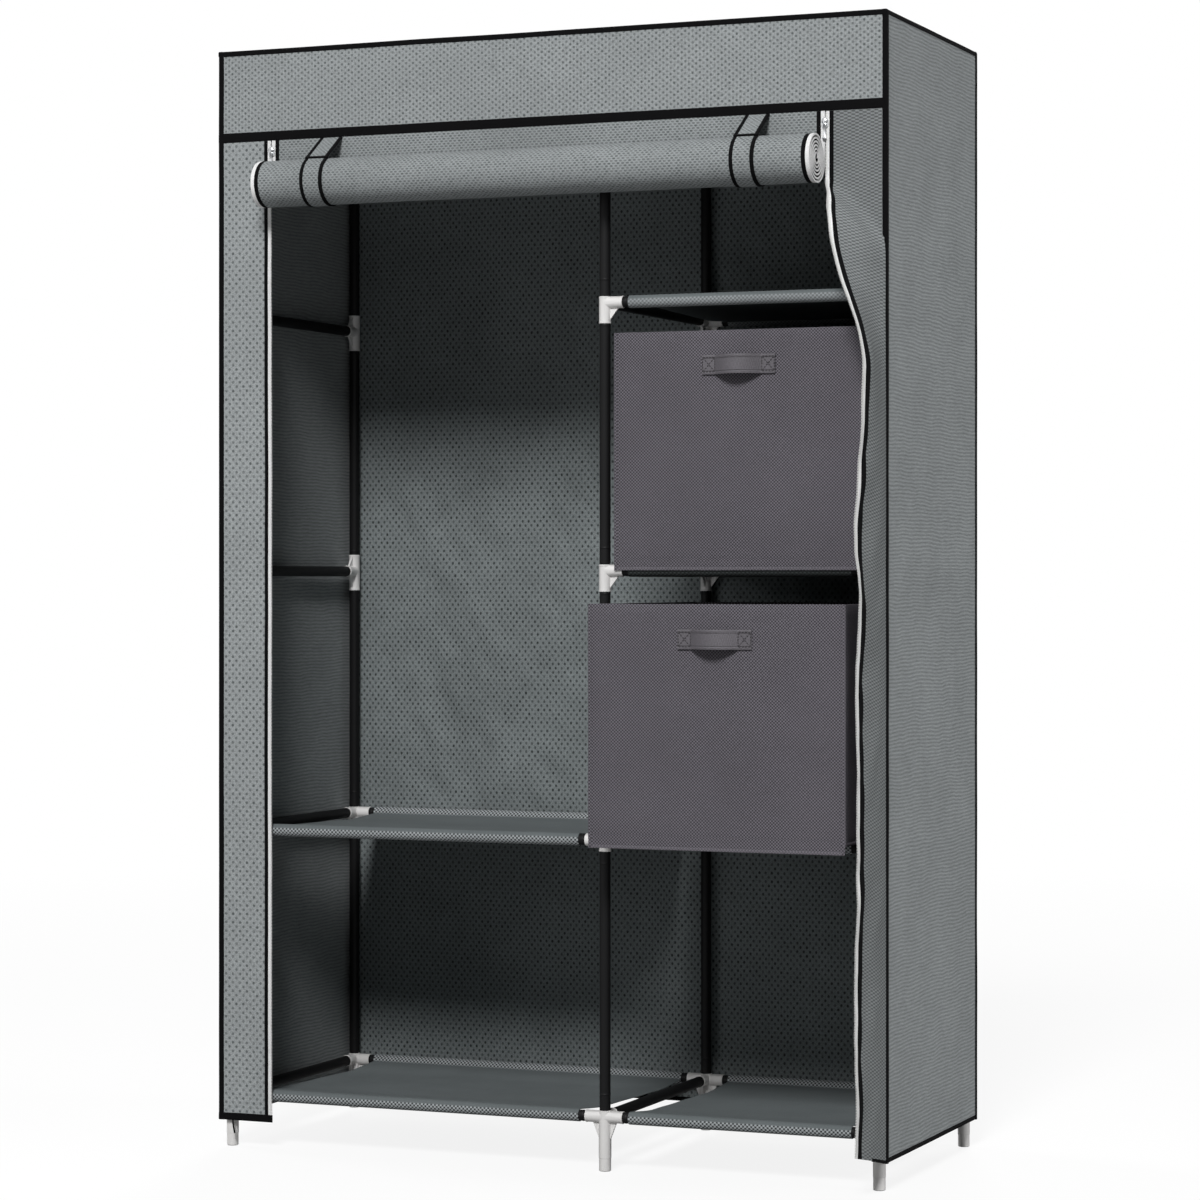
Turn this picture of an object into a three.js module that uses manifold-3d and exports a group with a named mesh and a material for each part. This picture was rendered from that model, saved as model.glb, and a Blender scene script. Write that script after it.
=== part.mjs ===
// Portable fabric wardrobe: a tube frame in plastic connectors, cloth shelves, two pull-out
// bins and a sewn cover whose front door is rolled up under its header band.
// Millimetres, +Z up, front towards -Y, standing on Z = 0.
import * as THREE from 'three';
import { mergeVertices } from 'three/addons/utils/BufferGeometryUtils.js';
import Module from 'manifold-3d';

const wasm = await Module();
wasm.setup();

// Clearances
const fit = 0.3; // between any two pieces that touch
const overrun = 5; // how far a cut runs past the face it opens

// Cover
const coverWidth = 1030;
const coverDepth = 430;
const coverCloth = 0.8;
const hemHeight = 40; // floor to the lower edge of the cloth
const headerHeight = 134; // top cloth down to the header's hem, binding included
const zipInset = 88; // cover's outer side to each front zip

// Frame
const uprightInset = 15; // cover's outer face to an upright's axis
const lowestLevel = 76.5; // floor to the lowest rails' axis
const openBayPitch = 390; // lowest rails up to the first ones
const binSideSlack = 27.5; // what the right bay is wider than its bins, axis to axis
const lowerBinSlack = 55; // what the bay round the lower bin is taller than the bin, axis to axis
const upperBinSlack = 53;
const topBayPitch = 374.7; // third rails up to the top ones

// Tubes
const tubeRadius = 8;
const tubeWall = 0.6;
const tubeSides = 8;

// Connectors
const hubRadius = 9.4;
const hubDrop = 30; // arm's axis down to the end of a connector's sleeve
const armReach = 28.5; // upright's axis to the end of an arm
const gussetReach = 10;
const gussetDrop = 13;
const gussetThickness = 3;
const teeRise = 26; // arm's axis up to the end of the sleeve where no rails meet the upright
const crossReach = 16; // arm's axis to the sleeve's ends where rails meet it from both sides
const footRadius = 9;
const footGussetReach = 8;
const footGussetDrop = 22;
const spigotHeight = 20; // how far a foot's peg goes up into its upright
const teeHalfWidth = 14; // half the sleeve that carries the hanging rail

// Shelves
const shelfCloth = 0.8;
const shelfEnd = 38; // upright's axis to the end of a shelf's sleeves

// Bins
const binWidth = 378;
const binAside = 2; // how far the bins stand right of their bay's middle
const binDepthSlack = 5; // a bin's back to the back uprights' axis
const binHeight = 325;
const binWall = 2;
const binBase = 4;
const binSkirt = 9; // how far a bin's front hangs down over the rail that it stands on
const lowerBinPull = 94; // how far the lower bin is pulled out

// Bin handles
const handleWidth = 108;
const handleHeight = 27;
const handleDrop = 48; // bin's rim down to the handle's middle
const handleStitch = 20; // sewn length at each end
const handleBow = 18;
const handleCloth = 1.5;
const handleSteps = 12;

// Rolled door
const rollRadius = 34;
const rollDrop = 68; // header's hem down to the roll's middle
const rollPitch = 4.8; // one turn of the doubled cloth
const rollTurns = 6.25;
const rollSteps = 16; // per turn
const foldPitch = rollPitch / 2; // between the two layers of one turn
const foldAngle = 25; // degrees that the fold reaches past the last turn

// Straps round the roll
const strapInset = 98; // front zip to a strap's middle
const strapWidth = 36;
const strapCloth = 1;
const strapTuck = 20; // how far a band runs up behind the header
const bandEndAngle = 125; // degrees round the roll from its back, over the top
const tabEndAngle = 152;
const strapStep = 15; // degrees a step

// Slack right strip below its zip pull, from the top down: shares of its height there,
// its swing in degrees, and the share of its width that its belly leaves from edge to edge.
// Behind the pull the strip stays flat.
const flapHeightShares = [
  1, 0.971, 0.95, 0.927, 0.897, 0.864, 0.83, 0.8, 0.771, 0.713,
  0.656, 0.596, 0.569, 0.543, 0.467, 0.298, 0.119, 0.047, 0,
];
const flapAngles = [0, 0, 22, 44, 49, 59, 72.5, 82.5, 87, 86, 82, 78.5, 81.5, 84, 80.5, 82, 78.5, 80.5, 79.5];
const flapWidthShares = [1, 1, 0.923, 0.985, 1, 1, 1, 1, 1, 1, 1, 1, 1, 1, 1, 1, 1, 1, 1];
const flapBow = 3; // how far the strip's middle bellies out of its plane
const flapRise = 18.5; // how far the swing lifts the strip's free edge

// Zip sliders and pulls
const sliderWidth = 10;
const sliderHeight = 13;
const sliderThickness = 2;
const sliderDrop = 17; // header's hem down to the slider's middle
const sliderRun = 8; // how far it still runs up or down
const archWidth = 1.6;
const archHalfHeight = 4;
const archGap = 2.4; // inside the arch, plate to bar
const pullWidth = 6; // as wide as the closed teeth behind it
const pullLength = 24;
const pullThickness = 1.2;
const pullWindow = 6.4; // pull's pivot down to the end of its window

// Derived places
const halfWidth = coverWidth / 2;
const halfDepth = coverDepth / 2;
const zipLine = halfWidth - zipInset;
const strapOffset = zipLine - strapInset;
const firstLevel = lowestLevel + openBayPitch;
const secondLevel = firstLevel + binHeight + lowerBinSlack;
const thirdLevel = secondLevel + binHeight + upperBinSlack;
const topLevel = thirdLevel + topBayPitch;
const panelTop = topLevel + hubRadius + fit;
const coverHeight = panelTop + fit + coverCloth;
const panelHeight = panelTop - hemHeight;
const frontWidth = coverWidth - 2 * (coverCloth + fit);
const headerBottom = coverHeight - headerHeight;
const stripTop = headerBottom - fit;
const stripHeight = stripTop - hemHeight;
const halfTeeth = pullWidth / 2 + fit;
const stripWidth = frontWidth / 2 - zipLine - halfTeeth;
const flapHeight = stripHeight - sliderDrop - sliderRun - pullLength;
const uprightX = halfWidth - uprightInset;
const uprightY = halfDepth - uprightInset;
const rightBay = binWidth + binSideSlack;
const centreX = uprightX - rightBay;
const facet = Math.cos(Math.PI / tubeSides);
const boreRadius = tubeRadius + fit / facet;
const sleeveRadius = boreRadius + shelfCloth / facet;
const railStop = hubRadius + fit;
const binX = centreX + rightBay / 2 + binAside;
const binFront = -uprightY - hubRadius * facet - fit - binWall;
const binDepth = uprightY - binDepthSlack - binFront;
const rollY = -halfDepth + coverCloth - rollRadius;
const rollZ = headerBottom - rollDrop;
const doorWidth = 2 * (zipLine - halfTeeth);
const frontReach = -binFront + lowerBinPull + fit + handleBow + handleCloth;

const levels = [
  { name: 'bottom', z: lowestLevel, left: true },
  { name: 'first', z: firstLevel, left: true },
  { name: 'second', z: secondLevel, left: false },
  { name: 'third', z: thirdLevel, left: false },
  { name: 'top', z: topLevel, left: true },
];
const columns = [
  { name: 'left', x: -uprightX },
  { name: 'centre', x: centreX },
  { name: 'right', x: uprightX },
];
const rows = [
  { name: 'front', y: -uprightY },
  { name: 'back', y: uprightY },
];
const sides = [
  { name: 'left', sign: -1 },
  { name: 'right', sign: 1 },
];

// Materials
function material(color, roughness, metalness) {
  return new THREE.MeshStandardMaterial({ color, roughness, metalness });
}

const blackTube = material(0x17181a, 0.4, 0.3);
const whitePlastic = material(0xe9ebea, 0.45, 0);
const coverFabric = material(0x8f9797, 0.9, 0);
const shelfFabric = material(0x545c5c, 0.9, 0);
const binFabric = material(0x5d595f, 0.9, 0);
const zipMetal = material(0xb9bcbe, 0.3, 0.9);

// The whole wardrobe stands centred over its outline, pulled-out bin included.
const wardrobe = new THREE.Group();
wardrobe.name = 'fabric_wardrobe';
wardrobe.position.y = (frontReach - halfDepth) / 2;

function add(parent, name, geometry, finish, x = 0, y = 0, z = 0) {
  const mesh = new THREE.Mesh(geometry, finish);
  mesh.name = name;
  mesh.position.set(x, y, z);
  parent.add(mesh);
  return mesh;
}

// Closed geometry to and from the boolean library
function solid(geometry) {
  const bare = geometry.clone();
  bare.deleteAttribute('normal');
  bare.deleteAttribute('uv');
  const merged = mergeVertices(bare);
  const vertProperties = merged.attributes.position.array;
  const triVerts = merged.index.array;
  return new wasm.Manifold(new wasm.Mesh({ numProp: 3, vertProperties, triVerts }));
}

function geometryOf(manifold) {
  const mesh = manifold.getMesh();
  const geometry = new THREE.BufferGeometry();
  geometry.setAttribute('position', new THREE.Float32BufferAttribute(mesh.vertProperties, 3));
  geometry.setIndex(Array.from(mesh.triVerts));
  geometry.computeVertexNormals();
  return geometry;
}

function joined(geometries) {
  return geometries.map(solid).reduce((all, next) => all.add(next));
}

// A rod from one place to another along X, Y or Z, with flats facing the axes
function rod(axis, radius, from, to) {
  const length = to - from;
  const turn = Math.PI / tubeSides;
  const geometry = new THREE.CylinderGeometry(radius, radius, length, tubeSides, 1, false, turn);
  if (axis === 'x') geometry.rotateZ(-Math.PI / 2);
  if (axis === 'z') geometry.rotateX(Math.PI / 2);
  const middle = new THREE.Vector3();
  middle[axis] = from + length / 2;
  return geometry.translate(middle.x, middle.y, middle.z);
}

function tube(axis, length) {
  const outer = solid(rod(axis, tubeRadius, -length / 2, length / 2));
  const inner = solid(rod(axis, tubeRadius - tubeWall, -length / 2 - overrun, length / 2 + overrun));
  return geometryOf(outer.subtract(inner));
}

function box(x, y, z, cx = 0, cy = 0, cz = 0) {
  return new THREE.BoxGeometry(x, y, z).translate(cx, cy, cz);
}

// A bent sheet of cloth between its left and right edges, drawn flat and given its width in Z
function sheet({ left, right }, width) {
  const positions = [];
  const index = [];
  left.forEach((point, i) => {
    positions.push(point.x, point.y, -width / 2, right[i].x, right[i].y, -width / 2);
    positions.push(right[i].x, right[i].y, width / 2, point.x, point.y, width / 2);
  });
  const quad = (a, b, c, d) => index.push(a, b, c, a, c, d);
  const last = 4 * (left.length - 1);
  for (let here = 0; here < last; here += 4) {
    for (let side = 0; side < 4; side += 1) {
      const next = (side + 1) % 4;
      quad(here + side, here + 4 + side, here + 4 + next, here + next);
    }
  }
  quad(0, 1, 2, 3);
  quad(last, last + 3, last + 2, last + 1);
  const geometry = new THREE.BufferGeometry();
  geometry.setAttribute('position', new THREE.Float32BufferAttribute(positions, 3));
  geometry.setIndex(index);
  geometry.computeVertexNormals();
  return geometry;
}

// The two edges of a strip of cloth of one thickness that follows a path
function ribbon(path, thickness) {
  const edge = (side) => path.map((point, i) => {
    const before = path[Math.max(i - 1, 0)];
    const after = path[Math.min(i + 1, path.length - 1)];
    const along = after.clone().sub(before).normalize();
    return new THREE.Vector2(-along.y, along.x).multiplyScalar(side * thickness / 2).add(point);
  });
  return { left: edge(1), right: edge(-1) };
}

// A sheet drawn in Y and Z, with its width along X
const alongX = new THREE.Matrix4().makeBasis(
  new THREE.Vector3(0, 1, 0),
  new THREE.Vector3(0, 0, 1),
  new THREE.Vector3(1, 0, 0),
);

function sheetX(edges, width) {
  return sheet(edges, width).applyMatrix4(alongX);
}

function onCircle(centreY, centreZ, radius, degrees) {
  const angle = THREE.MathUtils.degToRad(degrees);
  return new THREE.Vector2(centreY + radius * Math.cos(angle), centreZ + radius * Math.sin(angle));
}

// A web in an arm's plane, from the sleeve's axis outwards: way is -1 under the arm, 1 over it
function gusset(axis, sign, reach, drop, way = -1) {
  const shape = new THREE.Shape([
    new THREE.Vector2(0, 0),
    new THREE.Vector2(sign * (hubRadius + reach), 0),
    new THREE.Vector2(sign * (hubRadius + reach), way * hubRadius),
    new THREE.Vector2(sign * hubRadius, way * (hubRadius + drop)),
    new THREE.Vector2(0, way * (hubRadius + drop)),
  ]);
  const geometry = new THREE.ExtrudeGeometry(shape, { depth: gussetThickness, bevelEnabled: false });
  geometry.translate(0, 0, -gussetThickness / 2).rotateX(Math.PI / 2);
  if (axis === 'y') geometry.rotateZ(Math.PI / 2);
  return geometry;
}

// One connector about its own origin: what it adds and what is bored out of it.
// inward is the way along Y to the other connector of its crossbar.
function connector(level, arms, inward) {
  const isBottom = level.z === lowestLevel;
  const isTop = level.z === topLevel;
  const isTee = arms.length === 0;
  const isCross = arms.length === sides.length && !isBottom && !isTop;
  const reach = isBottom ? footGussetReach : gussetReach;
  const drop = isBottom ? footGussetDrop : gussetDrop;
  const outer = [];
  const bores = [];
  if (isBottom) {
    outer.push(rod('z', footRadius, -lowestLevel, 0));
    outer.push(rod('z', hubRadius, -hubRadius, hubRadius));
    outer.push(rod('z', tubeRadius - tubeWall - fit / facet, 0, hubRadius + spigotHeight));
  } else {
    const below = isCross ? crossReach : hubDrop;
    const above = isCross ? crossReach : (isTee ? teeRise : hubRadius);
    outer.push(rod('z', hubRadius, -below, above));
    bores.push(rod('z', boreRadius, -below - overrun, isTop ? -hubRadius : above + overrun));
  }
  for (const sign of arms) {
    outer.push(rod('x', hubRadius, Math.min(0, sign * armReach), Math.max(0, sign * armReach)));
    if (!isCross) outer.push(gusset('x', sign, reach, drop));
    const end = sign * (armReach + overrun);
    bores.push(rod('x', boreRadius, Math.min(0, end), Math.max(0, end)));
  }
  outer.push(rod('y', hubRadius, Math.min(0, inward * armReach), Math.max(0, inward * armReach)));
  if (!isCross) outer.push(gusset('y', inward, reach, drop));
  if (isTee) outer.push(gusset('y', inward, reach, drop, 1));
  return { outer, bores };
}

// A crossbar is a depth tube with a connector at each end.
function crossbar(level, arms, hangerSign) {
  const outer = [rod('y', tubeRadius, -uprightY, uprightY)];
  const bores = [rod('y', tubeRadius - tubeWall, -uprightY, uprightY)];
  for (const row of rows) {
    const end = connector(level, arms, -Math.sign(row.y));
    outer.push(...end.outer.map((geometry) => geometry.translate(0, row.y, 0)));
    bores.push(...end.bores.map((geometry) => geometry.translate(0, row.y, 0)));
  }
  if (hangerSign) {
    const arm = [0, hangerSign * armReach];
    const socket = [hangerSign * hubRadius, hangerSign * (armReach + overrun)];
    outer.push(rod('y', hubRadius, -teeHalfWidth, teeHalfWidth));
    outer.push(rod('x', hubRadius, Math.min(...arm), Math.max(...arm)));
    bores.push(rod('x', boreRadius, Math.min(...socket), Math.max(...socket)));
  }
  return geometryOf(joined(outer).subtract(joined(bores)));
}

function addFrame() {
  const frame = new THREE.Group();
  for (const level of levels) {
    for (const column of columns) {
      const arms = [];
      if (column.name === 'right' || (column.name === 'centre' && level.left)) arms.push(-1);
      if (column.name === 'centre' || (column.name === 'left' && level.left)) arms.push(1);
      const hanger = level.z === topLevel ? { left: 1, centre: -1, right: 0 }[column.name] : 0;
      const name = `crossbar_${column.name}_${level.name}`;
      add(frame, name, crossbar(level, arms, hanger), whitePlastic, column.x, 0, level.z);
    }
  }
  const low = lowestLevel + hubRadius + fit;
  const high = topLevel - hubRadius - fit;
  for (const column of columns) {
    for (const row of rows) {
      const name = `upright_${column.name}_${row.name}`;
      add(frame, name, tube('z', high - low), blackTube, column.x, row.y, (low + high) / 2);
    }
  }
  wardrobe.add(frame);
}

// A rail between two uprights, pushed into the connectors' arms
function addRail(parent, name, from, to, y, z) {
  const length = to - from - 2 * railStop;
  add(parent, name, tube('x', length), blackTube, (from + to) / 2, y, z);
}

function addRails() {
  const rails = new THREE.Group();
  for (const level of levels) {
    for (const row of rows) {
      if (level.z === lowestLevel || level.z === topLevel) {
        addRail(rails, `rail_${level.name}_${row.name}`, -uprightX, uprightX, row.y, level.z);
        continue;
      }
      addRail(rails, `rail_right_${level.name}_${row.name}`, centreX, uprightX, row.y, level.z);
      if (!level.left) continue;
      addRail(rails, `rail_left_${level.name}_${row.name}`, -uprightX, centreX, row.y, level.z);
    }
  }
  addRail(rails, 'hanging_rail', -uprightX, centreX, 0, topLevel);
  wardrobe.add(rails);
}

// A shelf is one sheet at the rails' axis, sewn into a sleeve round each rail.
function shelf(width) {
  const outer = [box(width, 2 * uprightY, shelfCloth)];
  const bores = [];
  for (const row of rows) {
    outer.push(rod('x', sleeveRadius, -width / 2, width / 2).translate(0, row.y, 0));
    bores.push(rod('x', boreRadius, -width / 2 - overrun, width / 2 + overrun).translate(0, row.y, 0));
  }
  return geometryOf(joined(outer).subtract(joined(bores)));
}

function addShelves() {
  const shelves = new THREE.Group();
  const bays = [
    { name: 'left', from: -uprightX, to: centreX, levels: levels.slice(0, 2) },
    { name: 'right', from: centreX, to: uprightX, levels: levels.slice(0, 4) },
  ];
  for (const bay of bays) {
    const geometry = shelf(bay.to - bay.from - 2 * shelfEnd);
    const middle = (bay.from + bay.to) / 2;
    for (const level of bay.levels) {
      add(shelves, `shelf_${bay.name}_${level.name}`, geometry, shelfFabric, middle, 0, level.z);
    }
  }
  wardrobe.add(shelves);
}

// A bin about the middle of its front lower edge, with its front hanging down over the rail
function binBody() {
  const walls = box(binWidth, binDepth, binHeight, 0, binDepth / 2, binHeight / 2);
  const front = box(binWidth, binWall, binSkirt + binBase, 0, binWall / 2, (binBase - binSkirt) / 2);
  const outer = joined([walls, front]);
  const room = solid(box(
    binWidth - 2 * binWall, binDepth - 2 * binWall, binHeight - binBase + overrun,
    0, binDepth / 2, (binHeight + binBase + overrun) / 2,
  ));
  return geometryOf(outer.subtract(room));
}

function binHandle() {
  const path = [new THREE.Vector2(-handleWidth / 2, 0)];
  const free = handleWidth / 2 - handleStitch;
  for (let i = 0; i <= handleSteps; i += 1) {
    const x = free * (2 * i / handleSteps - 1);
    path.push(new THREE.Vector2(x, -handleBow * (1 + Math.cos(Math.PI * x / free)) / 2));
  }
  path.push(new THREE.Vector2(handleWidth / 2, 0));
  return sheet(ribbon(path, handleCloth), handleHeight).translate(0, -fit - handleCloth / 2, 0);
}

function addBin(name, level, pull) {
  const bin = new THREE.Group();
  bin.position.set(binX, binFront - pull, level + hubRadius * facet + fit);
  add(bin, `bin_${name}`, binBody(), binFabric);
  add(bin, `bin_handle_${name}`, binHandle(), binFabric, 0, 0, binHeight - handleDrop);
  wardrobe.add(bin);
}

// A strip hinged at the corner, each station swung outwards by its own angle. Its section
// is a belly of three points outside and three inside, whose faces are split the same way.
function slackStrip() {
  const positions = [];
  const index = [];
  const ring = 6;
  const stations = flapHeightShares.map((share, i) => (
    [share * flapHeight, flapAngles[i], flapWidthShares[i]]
  ));
  for (const [height, degrees, share] of [[stripHeight, 0, 1], ...stations]) {
    const swing = THREE.MathUtils.degToRad(degrees);
    const belly = stripWidth / 2 * Math.sqrt(1 - share ** 2) + flapBow * Math.sin(swing);
    const width = share * stripWidth;
    const lift = flapRise * Math.sin(swing) / width;
    const section = [[0, 0], [width / 2, belly], [width, 0]];
    const outside = section.map(([s, t]) => [s, -t]);
    const inside = section.map(([s, t]) => [s, coverCloth - t]).reverse();
    for (const [s, t] of [...outside, ...inside]) {
      const x = -s * Math.cos(swing) - t * Math.sin(swing);
      const y = -s * Math.sin(swing) + t * Math.cos(swing);
      positions.push(x, y, height + lift * s);
    }
  }
  for (let i = 0; i < stations.length; i += 1) {
    for (let j = 0; j < ring; j += 1) {
      const a = i * ring + j;
      const b = i * ring + (j + 1) % ring;
      if (j < ring / 2) index.push(a, b, a + ring, b, b + ring, a + ring);
      else index.push(a, b, b + ring, a, b + ring, a + ring);
    }
  }
  const last = stations.length * ring;
  index.push(0, 5, 1, 1, 5, 4, 1, 4, 2, 2, 4, 3);
  for (const corner of [0, 1, 5, 1, 4, 5, 1, 2, 4, 2, 3, 4]) index.push(last + corner);
  const geometry = new THREE.BufferGeometry();
  geometry.setAttribute('position', new THREE.Float32BufferAttribute(positions, 3));
  geometry.setIndex(index);
  geometry.computeVertexNormals();
  return geometry;
}

function addCover() {
  const cover = new THREE.Group();
  const side = halfWidth - coverCloth / 2;
  const face = halfDepth - coverCloth / 2;
  const panelMiddle = hemHeight + panelHeight / 2;
  const top = box(coverWidth, coverDepth, coverCloth);
  add(cover, 'cover_top', top, coverFabric, 0, 0, coverHeight - coverCloth / 2);
  for (const { name, sign } of sides) {
    const panel = box(coverCloth, coverDepth, panelHeight);
    add(cover, `cover_${name}`, panel, coverFabric, sign * side, 0, panelMiddle);
  }
  add(cover, 'cover_back', box(frontWidth, coverCloth, panelHeight), coverFabric, 0, face, panelMiddle);
  const headerSize = panelTop - headerBottom;
  const header = box(frontWidth, coverCloth, headerSize);
  add(cover, 'header_band', header, coverFabric, 0, -face, panelTop - headerSize / 2);
  const stripX = zipLine + halfTeeth + stripWidth / 2;
  const strip = box(stripWidth, coverCloth, stripHeight);
  add(cover, 'left_strip', strip, coverFabric, -stripX, -face, hemHeight + stripHeight / 2);
  add(cover, 'right_flap', slackStrip(), coverFabric, frontWidth / 2, -halfDepth, hemHeight);
  wardrobe.add(cover);
}

// The door's cloth is folded once, hem to header, and rolled up from the fold.
// It leaves the roll at its back and rises to the header's hem.
function doorEdges() {
  const points = rollTurns * rollSteps;
  const spiral = (offset) => {
    const line = [];
    for (let i = 0; i <= points; i += 1) {
      const turn = i / rollSteps;
      line.push(onCircle(rollY, rollZ, rollRadius - offset - rollPitch * turn, -360 * turn));
    }
    return line;
  };
  const tail = (offset) => new THREE.Vector2(rollY + rollRadius - offset, stripTop);
  const foldRadius = rollRadius - (foldPitch + coverCloth) / 2 - rollPitch * rollTurns;
  const fold = (degrees) => onCircle(rollY, rollZ, foldRadius, -360 * rollTurns - degrees);
  return {
    left: [tail(0), ...spiral(0), fold(foldAngle), ...spiral(foldPitch + coverCloth).reverse()],
    right: [tail(coverCloth), ...spiral(coverCloth), fold(0), ...spiral(foldPitch).reverse()],
  };
}

function arc(radius, from, to) {
  const steps = Math.ceil(Math.abs(to - from) / strapStep);
  const points = [];
  for (let i = 0; i <= steps; i += 1) {
    points.push(onCircle(rollY, rollZ, radius, from + (to - from) * i / steps));
  }
  return points;
}

// The long band comes down behind the door, goes under the roll and up its front.
function bandPath() {
  const radius = rollRadius + fit + strapCloth / 2;
  const top = new THREE.Vector2(rollY + radius, headerBottom + strapTuck);
  return [top, ...arc(radius, 0, bandEndAngle - 360)];
}

// The short tab falls from the header's hem onto the roll, over the band's end.
const tabPivot = new THREE.Vector2(-halfDepth - fit - strapCloth / 2, headerBottom - strapCloth / 2);

function tabPath() {
  const radius = rollRadius + 2 * fit + 3 * strapCloth / 2;
  const out = tabPivot.clone().sub(new THREE.Vector2(rollY, rollZ));
  const landing = THREE.MathUtils.radToDeg(out.angle() + Math.acos(radius / out.length()));
  return [tabPivot, ...arc(radius, landing, tabEndAngle)];
}

function addDoor() {
  const door = new THREE.Group();
  add(door, 'door_panel', sheetX(doorEdges(), doorWidth), coverFabric);
  const band = ribbon(bandPath(), strapCloth);
  const tab = ribbon(tabPath(), strapCloth);
  for (const { name, sign } of sides) {
    add(door, `strap_band_${name}`, sheetX(band, strapWidth), coverFabric, sign * strapOffset);
    add(door, `strap_tab_${name}`, sheetX(tab, strapWidth), coverFabric, sign * strapOffset);
  }
  wardrobe.add(door);
}

// A slider is a plate on the zip with an arch on its front, about the pull's pivot.
function zipSlider() {
  const plateY = archGap / 2 + sliderThickness / 2;
  const archDepth = archGap + archWidth;
  const arch = solid(box(archWidth, archDepth, 2 * archHalfHeight, 0, (archGap - archDepth) / 2));
  const under = solid(box(
    archWidth + overrun, archGap, 2 * (archHalfHeight - archWidth),
  ));
  const plate = solid(box(sliderWidth, sliderThickness, sliderHeight, 0, plateY));
  return geometryOf(arch.subtract(under).add(plate));
}

// A pull hangs from a bar under the arch, which stands through its window.
function zipPull() {
  const bar = pullThickness / 2;
  const plate = solid(box(pullWidth, pullThickness, pullLength, 0, 0, bar - pullLength / 2));
  const window = solid(box(
    pullWidth - 2 * pullThickness, pullThickness + overrun, pullWindow - bar,
    0, 0, -(pullWindow + bar) / 2,
  ));
  return geometryOf(plate.subtract(window));
}

function addZips() {
  const y = -halfDepth - fit - sliderThickness - archGap / 2;
  for (const { name, sign } of sides) {
    const zip = new THREE.Group();
    zip.position.set(sign * zipLine, y, headerBottom - sliderDrop);
    add(zip, `zip_slider_${name}`, zipSlider(), zipMetal);
    add(zip, `zip_pull_${name}`, zipPull(), zipMetal);
    wardrobe.add(zip);
  }
}

addFrame();
addRails();
addShelves();
addBin('lower', firstLevel, lowerBinPull);
addBin('upper', secondLevel, 0);
addCover();
addDoor();
addZips();

export default wardrobe;
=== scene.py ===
"""The looks of a portable fabric wardrobe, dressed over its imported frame.

Metres, +Z up, front towards -Y, standing on Z = 0.
"""

import math

import bpy
from mathutils import Matrix, Vector, noise


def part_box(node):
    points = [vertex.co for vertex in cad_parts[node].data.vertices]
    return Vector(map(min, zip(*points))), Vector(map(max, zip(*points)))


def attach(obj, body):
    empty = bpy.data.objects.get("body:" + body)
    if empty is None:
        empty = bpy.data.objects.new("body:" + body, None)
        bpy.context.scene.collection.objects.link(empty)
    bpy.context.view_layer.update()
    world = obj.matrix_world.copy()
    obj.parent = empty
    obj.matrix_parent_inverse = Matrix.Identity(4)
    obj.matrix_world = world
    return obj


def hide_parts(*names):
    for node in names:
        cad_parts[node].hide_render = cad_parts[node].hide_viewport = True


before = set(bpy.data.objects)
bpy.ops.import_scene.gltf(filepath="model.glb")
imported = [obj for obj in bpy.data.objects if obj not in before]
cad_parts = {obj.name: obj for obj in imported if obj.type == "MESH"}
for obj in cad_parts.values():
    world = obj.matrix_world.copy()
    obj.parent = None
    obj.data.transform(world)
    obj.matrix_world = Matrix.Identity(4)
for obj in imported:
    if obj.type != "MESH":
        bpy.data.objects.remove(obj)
# A fixed seed, because Blender otherwise takes one for its vector noise from the clock
noise.seed_set(1)
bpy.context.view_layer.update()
bpy.ops.object.select_all(action="DESELECT")


# Places taken from the frame
def low(node):
    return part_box(node)[0]


def high(node):
    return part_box(node)[1]


def middle(node):
    return (low(node) + high(node)) / 2


LEVELS = {
    "bottom": middle("rail_bottom_front").z,
    "first": middle("rail_right_first_front").z,
    "second": middle("rail_right_second_front").z,
    "third": middle("rail_right_third_front").z,
    "top": middle("rail_top_front").z,
}
LEVEL_NAMES = list(LEVELS)
COLUMNS = {name: middle(f"upright_{name}_front").x for name in ("left", "centre", "right")}
ROWS = {name: middle(f"upright_left_{name}").y for name in ("front", "back")}
INWARD = {"front": 1, "back": -1}
SIDES = {"left": -1, "right": 1}
X_AXIS, Y_AXIS, Z_AXIS = Vector((1, 0, 0)), Vector((0, 1, 0)), Vector((0, 0, 1))
DOWN, OUT = Vector((0, 0, -1)), Vector((0, -1, 0))
ORIGIN = Vector()

FRONT = low("header_band").y
BACK = high("cover_back").y
SIDE = high("cover_right").x
TOP = high("cover_top").z
HEM = low("cover_left").z
HEADER_HEM = low("header_band").z

# Sizes of the real pieces
TUBE_RADIUS = 0.0078
TUBE_WALL = 0.0007
TUBE_CHAMFER = 0.0003
TUBE_BEAD = 0.0004
TUBE_BEAD_WIDTH = 0.0008
TUBE_BEAD_INSET = 0.0148
HUB_RADIUS = 0.0085
HUB_BEAD = 0.0004
HUB_CHAMFER = 0.0005
BEAD_LENGTH = 0.0022
BEAD_SLOPE = 0.0004
BORE_RADIUS = 0.0079
BORE_DEPTH = 0.012
BORE_OVERRUN = 0.003
SLEEVE_DROP = 0.030
SLEEVE_RISE = 0.026
CROSS_REACH = 0.016
ARM_REACH = 0.0285
SLEEVE_END = 0.038
SLEEVE_RADIUS = 0.0086
SEAT = HUB_RADIUS + 0.001
WEB_THICKNESS = 0.003
CLOTH = 0.0008
BINDING = 0.0062
BINDING_THICKNESS = 0.0016
HEM_BINDING = 0.011
HEADER_BINDING = 0.014
ZIP_LINE = 0.427
TAPE = 0.006
ROLL_RADIUS = 0.034
ROLL_DROP = 0.068
STRAP_OFFSET = 0.329
STRAP_WIDTH = 0.036
STRAP_BINDING = 0.0058

ROLL = Vector((0, high("door_panel").y - ROLL_RADIUS, HEADER_HEM - ROLL_DROP))


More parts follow.
